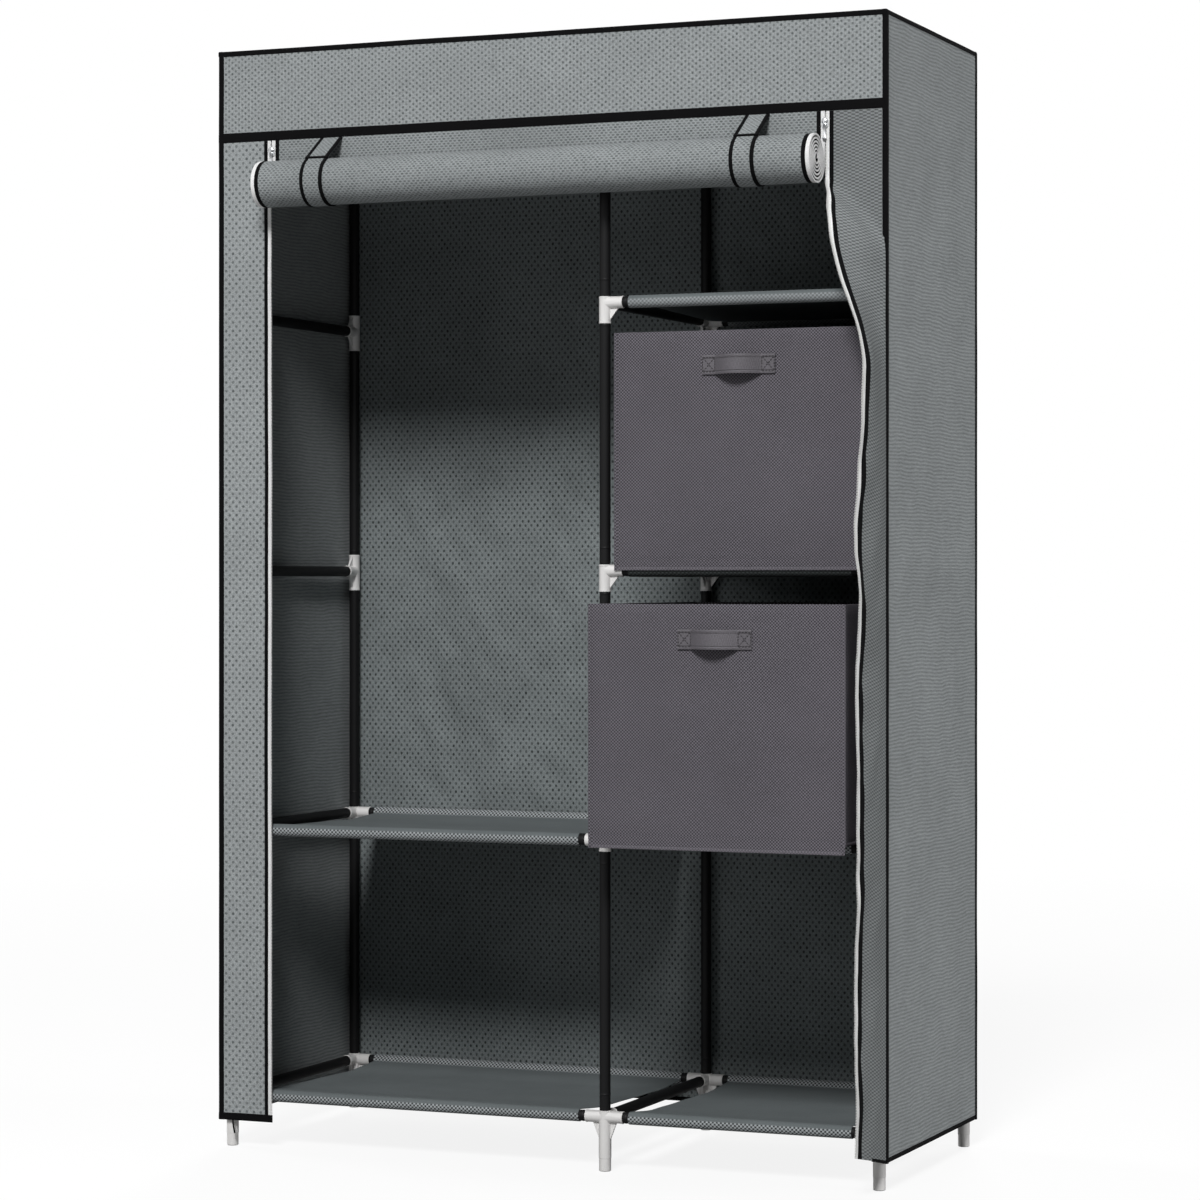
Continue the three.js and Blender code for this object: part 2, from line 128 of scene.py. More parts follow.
# Modelling helpers
def only(obj):
    bpy.ops.object.select_all(action="DESELECT")
    obj.select_set(True)
    bpy.context.view_layer.objects.active = obj


def modify(obj, kind, **settings):
    modifier = obj.modifiers.new(kind.title(), kind)
    for name, value in settings.items():
        setattr(modifier, name, value)
    only(obj)
    bpy.ops.object.modifier_apply(modifier=modifier.name)


def smooth(obj, angle):
    """Shades an object smooth, apart from edges sharper than an angle in degrees."""
    only(obj)
    bpy.ops.object.shade_smooth_by_angle(angle=math.radians(angle))
    return obj


def settle(obj, angle=35):
    """Puts the object's place into its mesh and shades it smooth up to an angle."""
    only(obj)
    bpy.ops.object.transform_apply(location=True, rotation=True, scale=True)
    return smooth(obj, angle)


def tidy_normals(obj):
    only(obj)
    bpy.ops.object.mode_set(mode="EDIT")
    bpy.ops.mesh.select_all(action="SELECT")
    bpy.ops.mesh.remove_doubles(threshold=1e-6)
    bpy.ops.mesh.normals_make_consistent(inside=False)
    bpy.ops.object.mode_set(mode="OBJECT")


def dress(obj, finish, body="wardrobe", nodes=()):
    """Gives a finished piece its material, the body it rides on and the nodes it stands for."""
    obj.data.materials.clear()
    obj.data.materials.append(finish)
    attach(obj, body)
    if nodes:
        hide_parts(*nodes)
    return obj


def linked(name, vertices, faces, edges=()):
    mesh = bpy.data.meshes.new(name)
    mesh.from_pydata(vertices, edges, faces)
    obj = bpy.data.objects.new(name, mesh)
    bpy.context.collection.objects.link(obj)
    return obj


def write_uv(obj, places):
    """One UV map in metres, from a place for each vertex."""
    layer = obj.data.uv_layers.new(name="cloth")
    for loop in obj.data.loops:
        layer.data[loop.index].uv = places[loop.vertex_index]


def thickened(name, vertices, uvs, columns, thickness=CLOTH):
    """A sheet through rows of vertices, each row one more than its columns of faces."""
    faces = []
    for row in range(0, len(vertices) - columns - 1, columns + 1):
        faces += [(a, a + 1, a + columns + 2, a + columns + 1) for a in range(row, row + columns)]
    obj = linked(name, vertices, faces)
    write_uv(obj, uvs)
    modify(obj, "SOLIDIFY", thickness=thickness, offset=0)
    return smooth(obj, 50)


def cloth(name, width, length, step, place, thickness=CLOTH):
    """A sheet cut to width by length, laid down by place(u, v), with its UV map in metres."""
    columns, rows = round(width / step[0]), round(length / step[1])
    uvs = [(width * i / columns, length * j / rows) for j in range(rows + 1) for i in range(columns + 1)]
    return thickened(name, [place(u, v) for u, v in uvs], uvs, columns, thickness)


def marks_along(path):
    """How far along a path each of its points lies."""
    marks = [0.0]
    for a, b in zip(path, path[1:]):
        marks.append(marks[-1] + (b - a).length)
    return marks


def outwards(path, i):
    """The way that a path's left side faces at one of its points."""
    along = (path[min(i + 1, len(path) - 1)] - path[max(i - 1, 0)]).normalized()
    return Vector((-along.y, along.x))


def skin(name, rings, angle=40):
    """A closed skin over rings of points, capped at both ends, with its UV map in metres."""
    count = len(rings[0])
    vertices = [point for ring in rings for point in ring]
    faces = [tuple(reversed(range(count)))]
    for j in range(len(rings) - 1):
        for i in range(count):
            a, b = j * count + i, j * count + (i + 1) % count
            faces.append((a, b, b + count, a + count))
    faces.append(tuple(range(len(vertices) - count, len(vertices))))
    obj = linked(name, vertices, faces)
    lengthwise = marks_along([Vector(ring[0]) for ring in rings])
    places = []
    for along, ring in zip(lengthwise, rings):
        places += [(around, along) for around in marks_along([Vector(point) for point in ring])]
    write_uv(obj, places)
    tidy_normals(obj)
    return smooth(obj, angle)


# Outlines of folded tapes, as shares of half the width and half the thickness
TAPE_SHAPE = [
    (-1, 0), (-0.93, 0.75), (-0.7, 1), (0, 1), (0.7, 1), (0.93, 0.75), (1, 0),
    (0.93, -0.75), (0.7, -1), (0, -1), (-0.7, -1), (-0.93, -0.75),
]
CORNER_SHAPE = [(0.15, 0), (0.6, 0), (0.95, 0.1), (1, 0.5), (0.95, 0.9)]
CORNER_SWELL = 0.6
CORNER_TUCK = 0.18


def tape_section(width, thickness, side, out):
    """The rounded outline of a folded tape: side runs across it and out is its face."""
    return [side * (width / 2 * a) + out * (thickness / 2 * b) for a, b in TAPE_SHAPE]


def corner_section(width, thickness, first, second, other_width=None):
    """The outline of a tape folded round a corner, along the two faces that meet there."""
    other_width = other_width or width

    def leg(length, along, face, shape):
        return [along * (length * a) - face * (thickness * (1 - b)) * 0.5 for a, b in shape]

    outline = leg(width, first, second, CORNER_SHAPE)
    outline.append(first * thickness * CORNER_SWELL + second * thickness * CORNER_SWELL)
    outline += leg(other_width, second, first, CORNER_SHAPE[::-1])
    outline.append((first + second) * (-CORNER_TUCK * thickness))
    return outline


def straight(name, section, start, end, steps=1, sway=0.0):
    """A section carried along a straight line, swaying a little between its ends."""
    start, end = Vector(start), Vector(end)
    rings = []
    for i in range(steps + 1):
        centre = start.lerp(end, i / steps)
        wobble = noise.noise_vector(centre * 9) * sway if 0 < i < steps else Vector()
        rings.append([centre + wobble + offset for offset in section])
    return skin(name, rings)


def turned(name, profile, steps=32):
    """A round solid spun about Z from (radius, height) pairs."""
    points = [(radius, 0, height) for radius, height in profile]
    obj = linked(name, points, [], [(i, i + 1) for i in range(len(points) - 1)])
    only(obj)
    bpy.ops.object.mode_set(mode="EDIT")
    bpy.ops.mesh.select_all(action="SELECT")
    bpy.ops.mesh.spin(steps=steps, angle=math.tau, center=(0, 0, 0), axis=(0, 0, 1))
    bpy.ops.object.mode_set(mode="OBJECT")
    tidy_normals(obj)
    return obj


def aimed(obj, start, direction):
    """Carries a mesh made along Z from the origin to a place and a direction."""
    turn = Vector(direction).to_track_quat("Z", "Y").to_matrix().to_4x4()
    obj.data.transform(Matrix.Translation(Vector(start)) @ turn)
    return obj


def combine(obj, other, operation):
    modify(obj, "BOOLEAN", object=other, operation=operation, solver="EXACT")
    bpy.data.objects.remove(other, do_unlink=True)


# Materials
def node(tree, kind, inputs=None, **settings):
    made = tree.nodes.new(kind)
    for name, value in settings.items():
        setattr(made, name, value)
    for name, value in (inputs or {}).items():
        if isinstance(value, bpy.types.NodeSocket):
            tree.links.new(value, made.inputs[name])
        else:
            made.inputs[name].default_value = value
    return made


def finish(name, colour, roughness, **sockets):
    """A new material and its tree, with the values that are the same all over."""
    made = bpy.data.materials.new(name)
    made.use_nodes = True
    shader = made.node_tree.nodes["Principled BSDF"]
    shader.inputs["Base Color"].default_value = (*colour, 1)
    shader.inputs["Roughness"].default_value = roughness
    for socket, value in sockets.items():
        shader.inputs[socket.replace("_", " ")].default_value = value
    return made, made.node_tree, shader


def scaled(colour, share):
    return tuple(channel * share for channel in colour)


def bumped(tree, shader, height, strength, distance):
    bump = node(tree, "ShaderNodeBump", {"Height": height, "Strength": strength, "Distance": distance})
    tree.links.new(bump.outputs["Normal"], shader.inputs["Normal"])


def worked(tree, operation, *values):
    """The result of one operation on numbers or sockets."""
    return node(tree, "ShaderNodeMath", dict(enumerate(values)), operation=operation).outputs[0]


def added(tree, first, second, weight):
    return worked(tree, "MULTIPLY_ADD", second, weight, first)


def ranged(tree, value, from_low, from_high, to_low=0.0, to_high=1.0, **settings):
    return node(tree, "ShaderNodeMapRange", {
        "Value": value, "From Min": from_low, "From Max": from_high, "To Min": to_low, "To Max": to_high,
    }, **settings).outputs[0]


def stretched(tree, value):
    """Spreads a noise's usual range over 0 to 1."""
    return ranged(tree, value, 0.36, 0.64)


def speckle(tree, place, scale, detail, roughness=0.5):
    """Noise at a place, with its scale, detail and roughness."""
    return node(tree, "ShaderNodeTexNoise", {
        "Vector": place, "Scale": scale, "Detail": detail, "Roughness": roughness,
    }).outputs[0]


def blended(tree, factor, first, second, **settings):
    """A mix of two colours, each of them a socket or three numbers."""
    sides = {"Factor": factor}
    for name, side in (("A", first), ("B", second)):
        sides[name] = side if isinstance(side, bpy.types.NodeSocket) else (*side, 1)
    return node(tree, "ShaderNodeMix", sides, data_type="RGBA", **settings).outputs["Result"]


def toned(tree, ground, factor, swing):
    """A colour made darker and lighter by a share, while a factor runs from 0 to 1."""
    tones = blended(tree, factor, (1 - swing,) * 3, (1 + swing,) * 3)
    return blended(tree, 1.0, ground, tones, blend_type="MULTIPLY")


def object_place(tree):
    return node(tree, "ShaderNodeTexCoord").outputs["Object"]


def cloth_place(tree):
    """The place on the flat cloth in metres, whole and by axis."""
    place = node(tree, "ShaderNodeUVMap", uv_map="cloth").outputs[0]
    return place, node(tree, "ShaderNodeSeparateXYZ", {"Vector": place}).outputs


# Noises in the materials: scale, detail and roughness
FIBRES = (560.0, 3.0, 0.7)
WEAR = (8.0, 5.0, 0.6)
DOT_PATCHES = (150.0, 1.0)
RIB_SWAY = (11.0, 3.0, 0.55)
RIB_STREAKS = (1.0, 2.0, 0.6)
STREAK_SCALE = (60, 420, 1)
STAIN = (14.0, 4.0, 0.6)


def fibre_layers(tree, colour, grit, wear):
    """The cloth's colour with its fibres and its uneven wear, and the fibres' height."""
    place = object_place(tree)
    fibres = stretched(tree, speckle(tree, place, *FIBRES))
    worn = stretched(tree, speckle(tree, place, *WEAR))
    ground = blended(tree, fibres, scaled(colour, 1 - grit), scaled(colour, 1 + grit))
    return toned(tree, ground, worn, wear), fibres


def embossed(name, colour, dot_colour, pitch, dot, depth=0.0006, stretch=1.0, grit=0.16, wear=0.08):
    """Bonded cloth with staggered embossed dots: pitch across and along in metres."""
    made, tree, shader = finish(name, colour, 0.9, Specular_IOR_Level=0.2)
    axes = cloth_place(tree)[1]
    distances = []
    for shift in (0.0, 0.5):
        offs = {}
        for axis, size, share in (("X", pitch[0], 1 / stretch), ("Y", pitch[1], 1.0)):
            cells = worked(tree, "MULTIPLY_ADD", axes[axis], 1 / size, shift)
            near = worked(tree, "PINGPONG", cells, 0.5)
            offs[axis] = worked(tree, "MULTIPLY", near, share * size / pitch[1])
        reach = node(tree, "ShaderNodeCombineXYZ", offs).outputs[0]
        length = node(tree, "ShaderNodeVectorMath", {0: reach}, operation="LENGTH")
        distances.append(length.outputs["Value"])
    nearest = worked(tree, "MINIMUM", *distances)
    dots = ranged(tree, nearest, dot * 0.7, dot * 1.25, 1.0, 0.0, interpolation_type="SMOOTHSTEP")
    patches = stretched(tree, speckle(tree, object_place(tree), *DOT_PATCHES))
    dots = worked(tree, "MULTIPLY", dots, ranged(tree, patches, 0.0, 1.0, 0.55, 1.0))
    ground, fibres = fibre_layers(tree, colour, grit, wear)
    tree.links.new(blended(tree, dots, ground, dot_colour), shader.inputs["Base Color"])
    height = added(tree, worked(tree, "MULTIPLY", fibres, 0.3), dots, -1.0)
    bumped(tree, shader, height, 0.5, depth)
    return made


def woven(name, colour, pitch, contrast, depth=0.0002, roughness=0.85, ends=None, gleam=0.15):
    """Cloth with a fine crossed weave; ends gives two places and the plain colour between them."""
    made, tree, shader = finish(name, colour, roughness, Specular_IOR_Level=gleam)
    axes = cloth_place(tree)[1]
    waves = []
    for axis, size in zip("XY", pitch):
        turns = worked(tree, "MULTIPLY", axes[axis], math.tau / size)
        waves.append(worked(tree, "SINE", turns))
    check = worked(tree, "MULTIPLY", *waves)
    weave = ranged(tree, check, -0.5, 0.5, interpolation_type="SMOOTHSTEP")
    ground, fibres = fibre_layers(tree, colour, 0.12, 0.05)
    ground = toned(tree, ground, weave, contrast)
    if ends:
        first, last, plain = ends
        centre, half = (first + last) / 2, (last - first) / 2
        off = worked(tree, "ABSOLUTE", worked(tree, "SUBTRACT", axes["Y"], centre))
        sleeve = ranged(tree, off, half - 0.001, half + 0.001)
        flat = fibre_layers(tree, plain, 0.08, 0.05)[0]
        ground = blended(tree, sleeve, flat, ground)
    tree.links.new(ground, shader.inputs["Base Color"])
    bumped(tree, shader, added(tree, fibres, weave, 1.2), 0.4, depth)
    return made


def ribbed(name, colour, pitch, contrast, depth=0.0003):
    """Cloth whose fine dots run together in wavering ribs across the sheet."""
    made, tree, shader = finish(name, colour, 0.9, Specular_IOR_Level=0.2)
    place, axes = cloth_place(tree)
    sway = stretched(tree, speckle(tree, place, *RIB_SWAY))
    turns = worked(tree, "MULTIPLY", added(tree, axes["Y"], sway, pitch * 0.7), math.tau / pitch)
    streaked = node(tree, "ShaderNodeMapping", {"Vector": place, "Scale": STREAK_SCALE}).outputs[0]
    streaks = ranged(tree, speckle(tree, streaked, *RIB_STREAKS), 0.3, 0.7)
    ribs = worked(tree, "MULTIPLY", worked(tree, "SINE", turns), streaks)
    level = ranged(tree, ribs, -0.8, 0.8)
    ground, fibres = fibre_layers(tree, colour, 0.1, 0.05)
    tree.links.new(toned(tree, ground, level, contrast), shader.inputs["Base Color"])
    bumped(tree, shader, added(tree, fibres, level, 1.0), 0.3, depth)
    return made


def grained(name, colour, roughness, scale, depth, spread=0.06, **sockets):
    """Plastic or painted metal with a fine grain in its colour, gloss and surface."""
    made, tree, shader = finish(name, colour, roughness, **sockets)
    place = object_place(tree)
    grain = speckle(tree, place, scale, 3.0, 0.55)
    stain = speckle(tree, place, *STAIN)
    tint = blended(tree, stain, scaled(colour, 1 - spread), scaled(colour, 1 + spread))
    tree.links.new(tint, shader.inputs["Base Color"])
    gloss = ranged(tree, grain, 0.0, 1.0, roughness - 0.08, roughness + 0.08)
    tree.links.new(gloss, shader.inputs["Roughness"])
    bumped(tree, shader, grain, 0.25, depth)
    return made


# Colours, in linear light
COVER = (0.297, 0.317, 0.322)
COVER_DOT = (0.099, 0.11, 0.1115)
COVER_BACK = (0.179, 0.200, 0.203)
SHELF = (0.211, 0.226, 0.232)
# Painted shade: a dark colour for the shelf's sleeves that stands in for the upper bin's shadow on the
# shelf below it
PAINTED_SHADE_SHELF = (0.03, 0.034, 0.034)
SHELF_PLAIN = (0.126, 0.142, 0.146)
SHELF_WEAVE = (0.0060, 0.0056)
BIN = (0.099, 0.0925, 0.106)
BIN_EDGE = (0.125, 0.117, 0.133)
BIN_WEAVE = (0.0047, 0.0045)
WEBBING = (0.106, 0.099, 0.111)
BINDING_BLACK = (0.0042, 0.0042, 0.0046)
THREAD = (0.035, 0.032, 0.037)
TAPE_WHITE = (0.76, 0.76, 0.76)
TEETH_WHITE = (0.72, 0.72, 0.71)
PAINT_BLACK = (0.0085, 0.0085, 0.009)
PLASTIC_WHITE = (0.73, 0.72, 0.71)
ZIP_GREY = (0.46, 0.47, 0.48)

cover_front = embossed(
    "cover cloth front", COVER, COVER_DOT, (0.0114, 0.0126), 0.17, grit=0.24, wear=0.04,
)
cover_header = embossed(
    "cover cloth header", scaled(COVER, 0.94), COVER_DOT, (0.0109, 0.0084), 0.22, grit=0.24, wear=0.04,
)
cover_back = embossed(
    "cover cloth back", COVER_BACK, scaled(COVER_DOT, 0.36), (0.010, 0.013), 0.18, stretch=0.8, grit=0.24,
)
cover_fine = embossed(
    "cover cloth fine", scaled(COVER, 0.95), scaled(COVER_DOT, 1.05), (0.0069, 0.0071), 0.2,
    depth=0.0003, stretch=1.7,
)
cover_side = ribbed("cover cloth side", scaled(COVER, 0.92), 0.0052, 0.3)
cover_flap = woven("cover cloth flap", scaled(COVER, 0.55), (0.0110, 0.0048), 0.4, 0.0004)
bin_cloth = woven("bin cloth", BIN, BIN_WEAVE, 0.62)
bin_edge = woven("bin seam cloth", BIN_EDGE, BIN_WEAVE, 0.3)
webbing = woven("webbing", WEBBING, (0.0020, 0.0100), 0.16, 0.0003, 0.62, gleam=0.4)
binding_cloth = woven("black binding", BINDING_BLACK, (0.0016, 0.0022), 0.3, 0.0003, gleam=0.05)
zip_tape = woven("zip tape", TAPE_WHITE, (0.0014, 0.0012), 0.05, 0.0002, 0.7)
teeth_plastic = grained("zip teeth", TEETH_WHITE, 0.35, 900.0, 0.0001, 0.03)
thread = grained("bin thread", THREAD, 0.7, 1500.0, 0.0001)
black_paint = grained(
    "black powder coat", PAINT_BLACK, 0.5, 900.0, 0.00006, 0.1, Specular_IOR_Level=0.12,
)
white_plastic = grained("white plastic", PLASTIC_WHITE, 0.42, 500.0, 0.00006, 0.03, Coat_Weight=0.08)
zip_metal = grained("zip metal", ZIP_GREY, 0.3, 700.0, 0.00005, 0.08, Metallic=1.0)


# Camera, at the photograph's angle
FOCAL_PIXELS = 3505.77
PICTURE = 1200
HORIZON_ROW = 578.04
EYE = (1.986, -4.713, 0.836)
EYE_TURN = 22.577
SENSOR = 36

# Lamps: azimuth and elevation in degrees, strength, and the width in degrees that they are seen at
KEY_LAMP = (12, 37, 3.1, 16)
KEY_DISTANCE = 11.0
KEY_AIM = Vector((0.0, 0.0, 1.2))
SUNS = {
    "low fill": (-28, 12, 0.17, 24),
    "right fill": (92, 14, 1.15, 24),
    "back fill": (195, 16, 2.2, 20),
    "left fill": (-105, 14, 1.6, 20),
}
WORLD_STRENGTH = 0.035
WHITE = (1, 1, 1, 1)

# Floor, pale where the camera sees it and darker in what it throws back
FLOOR_SIZE = 40
FLOOR_SINK = 0.0004
FLOOR_PALE = (0.95,) * 3, (0.97,) * 3
FLOOR_BOUNCED = (0.31,) * 3, (0.33,) * 3
FLOOR_FADE = (1.5, 5.0, 0.87, 1.0)


def hung(name, data):
    """Puts a camera or a lamp into the scene."""
    obj = bpy.data.objects.new(name, data)
    bpy.context.collection.objects.link(obj)
    return obj


def add_camera():
    data = bpy.data.cameras.new("camera")
    data.sensor_width = SENSOR
    data.lens = FOCAL_PIXELS / PICTURE * data.sensor_width
    data.shift_y = (HORIZON_ROW - PICTURE / 2) / PICTURE
    camera = hung("camera", data)
    camera.location = EYE
    camera.rotation_euler = (math.pi / 2, 0, math.radians(EYE_TURN))
    bpy.context.scene.camera = camera


def towards(azimuth, elevation):
    """The way to a lamp, its azimuth measured from the front towards +X."""
    a, e = math.radians(azimuth), math.radians(elevation)
    return Vector((math.sin(a) * math.cos(e), -math.cos(a) * math.cos(e), math.sin(e)))


def add_sun(name, azimuth, elevation, strength, angle):
    data = bpy.data.lights.new(name, "SUN")
    data.energy = strength
    data.angle = math.radians(angle)
    hung(name, data).rotation_euler = towards(azimuth, elevation).to_track_quat("Z", "Y").to_euler()


def add_key(azimuth, elevation, strength, angle):
    """A big round lamp whose light falls off a little from the header to the feet."""
    data = bpy.data.lights.new("key", "POINT")
    data.energy = strength * 4 * math.pi * KEY_DISTANCE**2
    data.shadow_soft_size = KEY_DISTANCE * math.tan(math.radians(angle / 2))
    hung("key", data).location = KEY_AIM + towards(azimuth, elevation) * KEY_DISTANCE


def add_world():
    """White to the camera and in reflections, and a faint light to everything else."""
    world = bpy.data.worlds.new("studio")
    bpy.context.scene.world = world
    world.use_nodes = True
    tree = world.node_tree
    tree.nodes.clear()
    path = node(tree, "ShaderNodeLightPath").outputs
    seen = worked(tree, "MAXIMUM", path["Is Camera Ray"], path["Is Glossy Ray"])
    seen = worked(tree, "MAXIMUM", seen, path["Is Transmission Ray"])
    soft, white = (
        node(tree, "ShaderNodeBackground", {"Color": WHITE, "Strength": strength}).outputs[0]
        for strength in (WORLD_STRENGTH, 1.0)
    )
    mixed = node(tree, "ShaderNodeMixShader", {0: seen, 1: soft, 2: white}).outputs[0]
    node(tree, "ShaderNodeOutputWorld", {"Surface": mixed})


def add_floor():
    bpy.ops.mesh.primitive_plane_add(size=FLOOR_SIZE, location=(0, 0, -FLOOR_SINK))
    floor = bpy.context.object
    floor.name = "floor"
    made, tree, shader = finish("floor", (0.86, 0.86, 0.86), 0.9, Specular_IOR_Level=0.0)
    grain = node(tree, "ShaderNodeTexNoise", {"Scale": 30.0}).outputs[0]
    camera_ray = node(tree, "ShaderNodeLightPath").outputs["Is Camera Ray"]
    pale = blended(tree, grain, *FLOOR_PALE)
    bounced = blended(tree, grain, *FLOOR_BOUNCED)
    tree.links.new(blended(tree, camera_ray, bounced, pale), shader.inputs["Base Color"])
    away = node(tree, "ShaderNodeVectorMath", {0: object_place(tree)}, operation="LENGTH")
    lit = worked(tree, "MULTIPLY", camera_ray, ranged(tree, away.outputs["Value"], *FLOOR_FADE))
    plain = node(tree, "ShaderNodeEmission", {"Color": WHITE, "Strength": 1.0}).outputs[0]
    mixed = node(tree, "ShaderNodeMixShader", {0: lit, 1: shader.outputs[0], 2: plain}).outputs[0]
    tree.links.new(mixed, tree.nodes["Material Output"].inputs["Surface"])
    floor.data.materials.append(made)


def add_surroundings():
    bpy.context.scene.view_settings.view_transform = "Standard"
    add_world()
    add_key(*KEY_LAMP)
    for name, lamp in SUNS.items():
        add_sun(name, *lamp)
    add_floor()


# Frame
TUBE_LIP = 0.0006
FOOT_RADIUS_STEP = 0.0004
FOOT_WALL = 0.018
PEG_RISE = 0.018
PEG_INSET = 0.001
UPRIGHT_GAP = 0.0003
CAP_SINK = 0.001
CONNECTOR_EDGE = 0.0004
SOCKET_HALF = 0.014
SOCKET_BORE_HALF = 0.02
WEB_OF_FOOT = (0.009, 0.023)
WEB_OF_OTHERS = (0.012, 0.0155)
BAYS = {"left": ("left", "centre"), "right": ("centre", "right")}
KINDS = {("left", "second"): "tee", ("left", "third"): "tee", ("centre", "first"): "cross"}


def tube(name, start, end, nodes=()):
    """A thin-walled tube, the long ones with a rolled bead near each end."""
    start, end = Vector(start), Vector(end)
    length = (end - start).length
    r, bead = TUBE_RADIUS, TUBE_BEAD_WIDTH
    outer = [(r - TUBE_CHAMFER, 0), (r, TUBE_LIP), (r, 2 * TUBE_LIP)]
    if length > 3 * SLEEVE_END:
        for at in (SLEEVE_END - TUBE_BEAD_INSET, length - SLEEVE_END + TUBE_BEAD_INSET):
            outer += [(r, at - 3 * bead), (r, at - bead), (r + TUBE_BEAD, at)]
            outer += [(r, at + bead), (r, at + 3 * bead)]
    outer += [(r, length - 2 * TUBE_LIP), (r, length - TUBE_LIP), (r - TUBE_CHAMFER, length)]
    inner = r - TUBE_WALL
    profile = outer + [(inner, length), (inner, 0), outer[0]]
    obj = aimed(turned(name, profile, 28), start, end - start)
    settle(obj)
    dress(obj, black_paint, nodes=nodes)


def mouth(reach):
    """The bead and rounded rim at a socket's mouth, from its arm out to its end."""
    r, b = HUB_RADIUS, HUB_BEAD
    return [
        (r, reach - BEAD_LENGTH - BEAD_SLOPE), (r + b, reach - BEAD_LENGTH),
        (r + b, reach - HUB_CHAMFER), (r + b - HUB_CHAMFER, reach), (0, reach),
    ]


def socket_arm(reach):
    """Half of a connector's arm or sleeve, along Z from its middle, with a bead at its mouth."""
    return turned("arm", [(0, 0), (HUB_RADIUS, 0)] + mouth(reach))


def long_sleeve(drop, rise):
    """A sleeve through a connector's middle, with a bead at both mouths."""
    return turned("sleeve", [(r, -z) for r, z in reversed(mouth(drop))] + mouth(rise))


def bore(reach):
    start, end = reach - BORE_DEPTH, reach + BORE_OVERRUN
    return turned("bore", [(0, start), (BORE_RADIUS, start), (BORE_RADIUS, end), (0, end)])


def web(way, reach, drop, flip=False):
    """A web under or over an arm: a plate cut off by a slanting plane."""
    side = way.cross(Z_AXIS)
    width, height = HUB_RADIUS + reach, HUB_RADIUS + drop
    centre = way * width / 2 - Vector((0, 0, height / 2))
    bpy.ops.mesh.primitive_cube_add(size=1)
    obj = bpy.context.object
    obj.scale = [
        abs(way[k]) * width + abs(side[k]) * WEB_THICKNESS + Z_AXIS[k] * height for k in range(3)
    ]
    bpy.ops.object.transform_apply(location=False, rotation=False, scale=True)
    obj.data.transform(Matrix.Translation(centre))
    only(obj)
    bpy.ops.object.mode_set(mode="EDIT")
    bpy.ops.mesh.select_all(action="SELECT")
    corner = way * width - Vector((0, 0, HUB_RADIUS))
    foot = way * HUB_RADIUS - Vector((0, 0, height))
    slope = (foot - corner).cross(side)
    if slope.dot(way - Z_AXIS) < 0:
        slope = -slope
    bpy.ops.mesh.bisect(
        plane_co=corner, plane_no=slope.normalized(), use_fill=True, clear_outer=True
    )
    bpy.ops.object.mode_set(mode="OBJECT")
    if flip:
        obj.data.transform(Matrix.Scale(-1, 4, (0, 0, 1)))
        obj.data.flip_normals()
    return obj


def foot_body(drop):
    """A foot's standing sleeve with the peg that its upright is pushed on."""
    r = HUB_RADIUS
    wide, top = r + FOOT_RADIUS_STEP, drop + r
    foot = turned("foot", [
        (0, 0), (r - 0.001, 0), (r, 0.001), (r, FOOT_WALL), (wide, FOOT_WALL + HUB_CHAMFER),
        (wide, top), (r - HUB_CHAMFER, top + HUB_CHAMFER), (0, top + HUB_CHAMFER),
    ])
    foot.data.transform(Matrix.Translation((0, 0, -drop)))
    peg_radius = TUBE_RADIUS - PEG_INSET
    peg = turned("peg", [
        (0, 0), (peg_radius, 0), (peg_radius, r + PEG_RISE), (0, r + PEG_RISE + PEG_INSET),
    ])
    combine(foot, peg, "UNION")
    return foot


def capped_sleeve():
    """A sleeve that opens downwards and is closed by a cap above its arms."""
    r, b = HUB_RADIUS, HUB_BEAD
    body = aimed(socket_arm(SLEEVE_DROP), ORIGIN, DOWN)
    cap = turned("cap", [
        (0, -CAP_SINK), (r, -CAP_SINK), (r, r - 0.0026), (r + b, r - 0.0022), (r + b, r - 0.0006),
        (r - 0.0004, r), (0, r),
    ])
    combine(body, cap, "UNION")
    return body


def connector(name, place, arms, inward, kind, nodes):
    """One white connector: sleeve down, arms along X and one arm towards the other row."""
    if kind == "foot":
        body = foot_body(place.z)
    elif kind in ("tee", "cross"):
        drop, rise = (SLEEVE_DROP, SLEEVE_RISE) if kind == "tee" else (CROSS_REACH, CROSS_REACH)
        body = long_sleeve(drop, rise)
    else:
        body = capped_sleeve()
    ways = [Vector((sign, 0, 0)) for sign in arms] + [Vector((0, inward, 0))]
    reach, fall = WEB_OF_FOOT if kind == "foot" else WEB_OF_OTHERS
    for way in ways:
        combine(body, aimed(socket_arm(ARM_REACH), ORIGIN, way), "UNION")
        if kind != "cross":
            combine(body, web(way, reach, fall), "UNION")
        if kind == "tee":
            combine(body, web(way, reach, fall, flip=True), "UNION")
    for way in ways:
        combine(body, aimed(bore(ARM_REACH), ORIGIN, way), "DIFFERENCE")
    if kind in ("tee", "cross"):
        combine(body, aimed(bore(drop), ORIGIN, DOWN), "DIFFERENCE")
        combine(body, bore(rise), "DIFFERENCE")
    elif kind != "foot":
        combine(body, aimed(bore(SLEEVE_DROP), ORIGIN, DOWN), "DIFFERENCE")
    modify(body, "BEVEL", width=CONNECTOR_EDGE, segments=2, limit_method="ANGLE",
           angle_limit=math.radians(40), use_clamp_overlap=True)
    plastic_piece(body, name, place, nodes)


def plastic_piece(body, name, place, nodes):
    """Names a white piece made about the origin, and carries it to its place."""
    body.name = name
    body.data.transform(Matrix.Translation(place))
    settle(body, 32)
    dress(body, white_plastic, nodes=nodes)


def has_rails(bay, level):
    return bay == "right" or level in ("bottom", "first", "top")


def arms_of(column, level):
    """The ways along X in which a connector has arms, for the bays that end at it."""
    arms = []
    for sign, end in ((-1, 1), (1, 0)):
        if any(ends[end] == column and has_rails(bay, level) for bay, ends in BAYS.items()):
            arms.append(sign)
    return arms


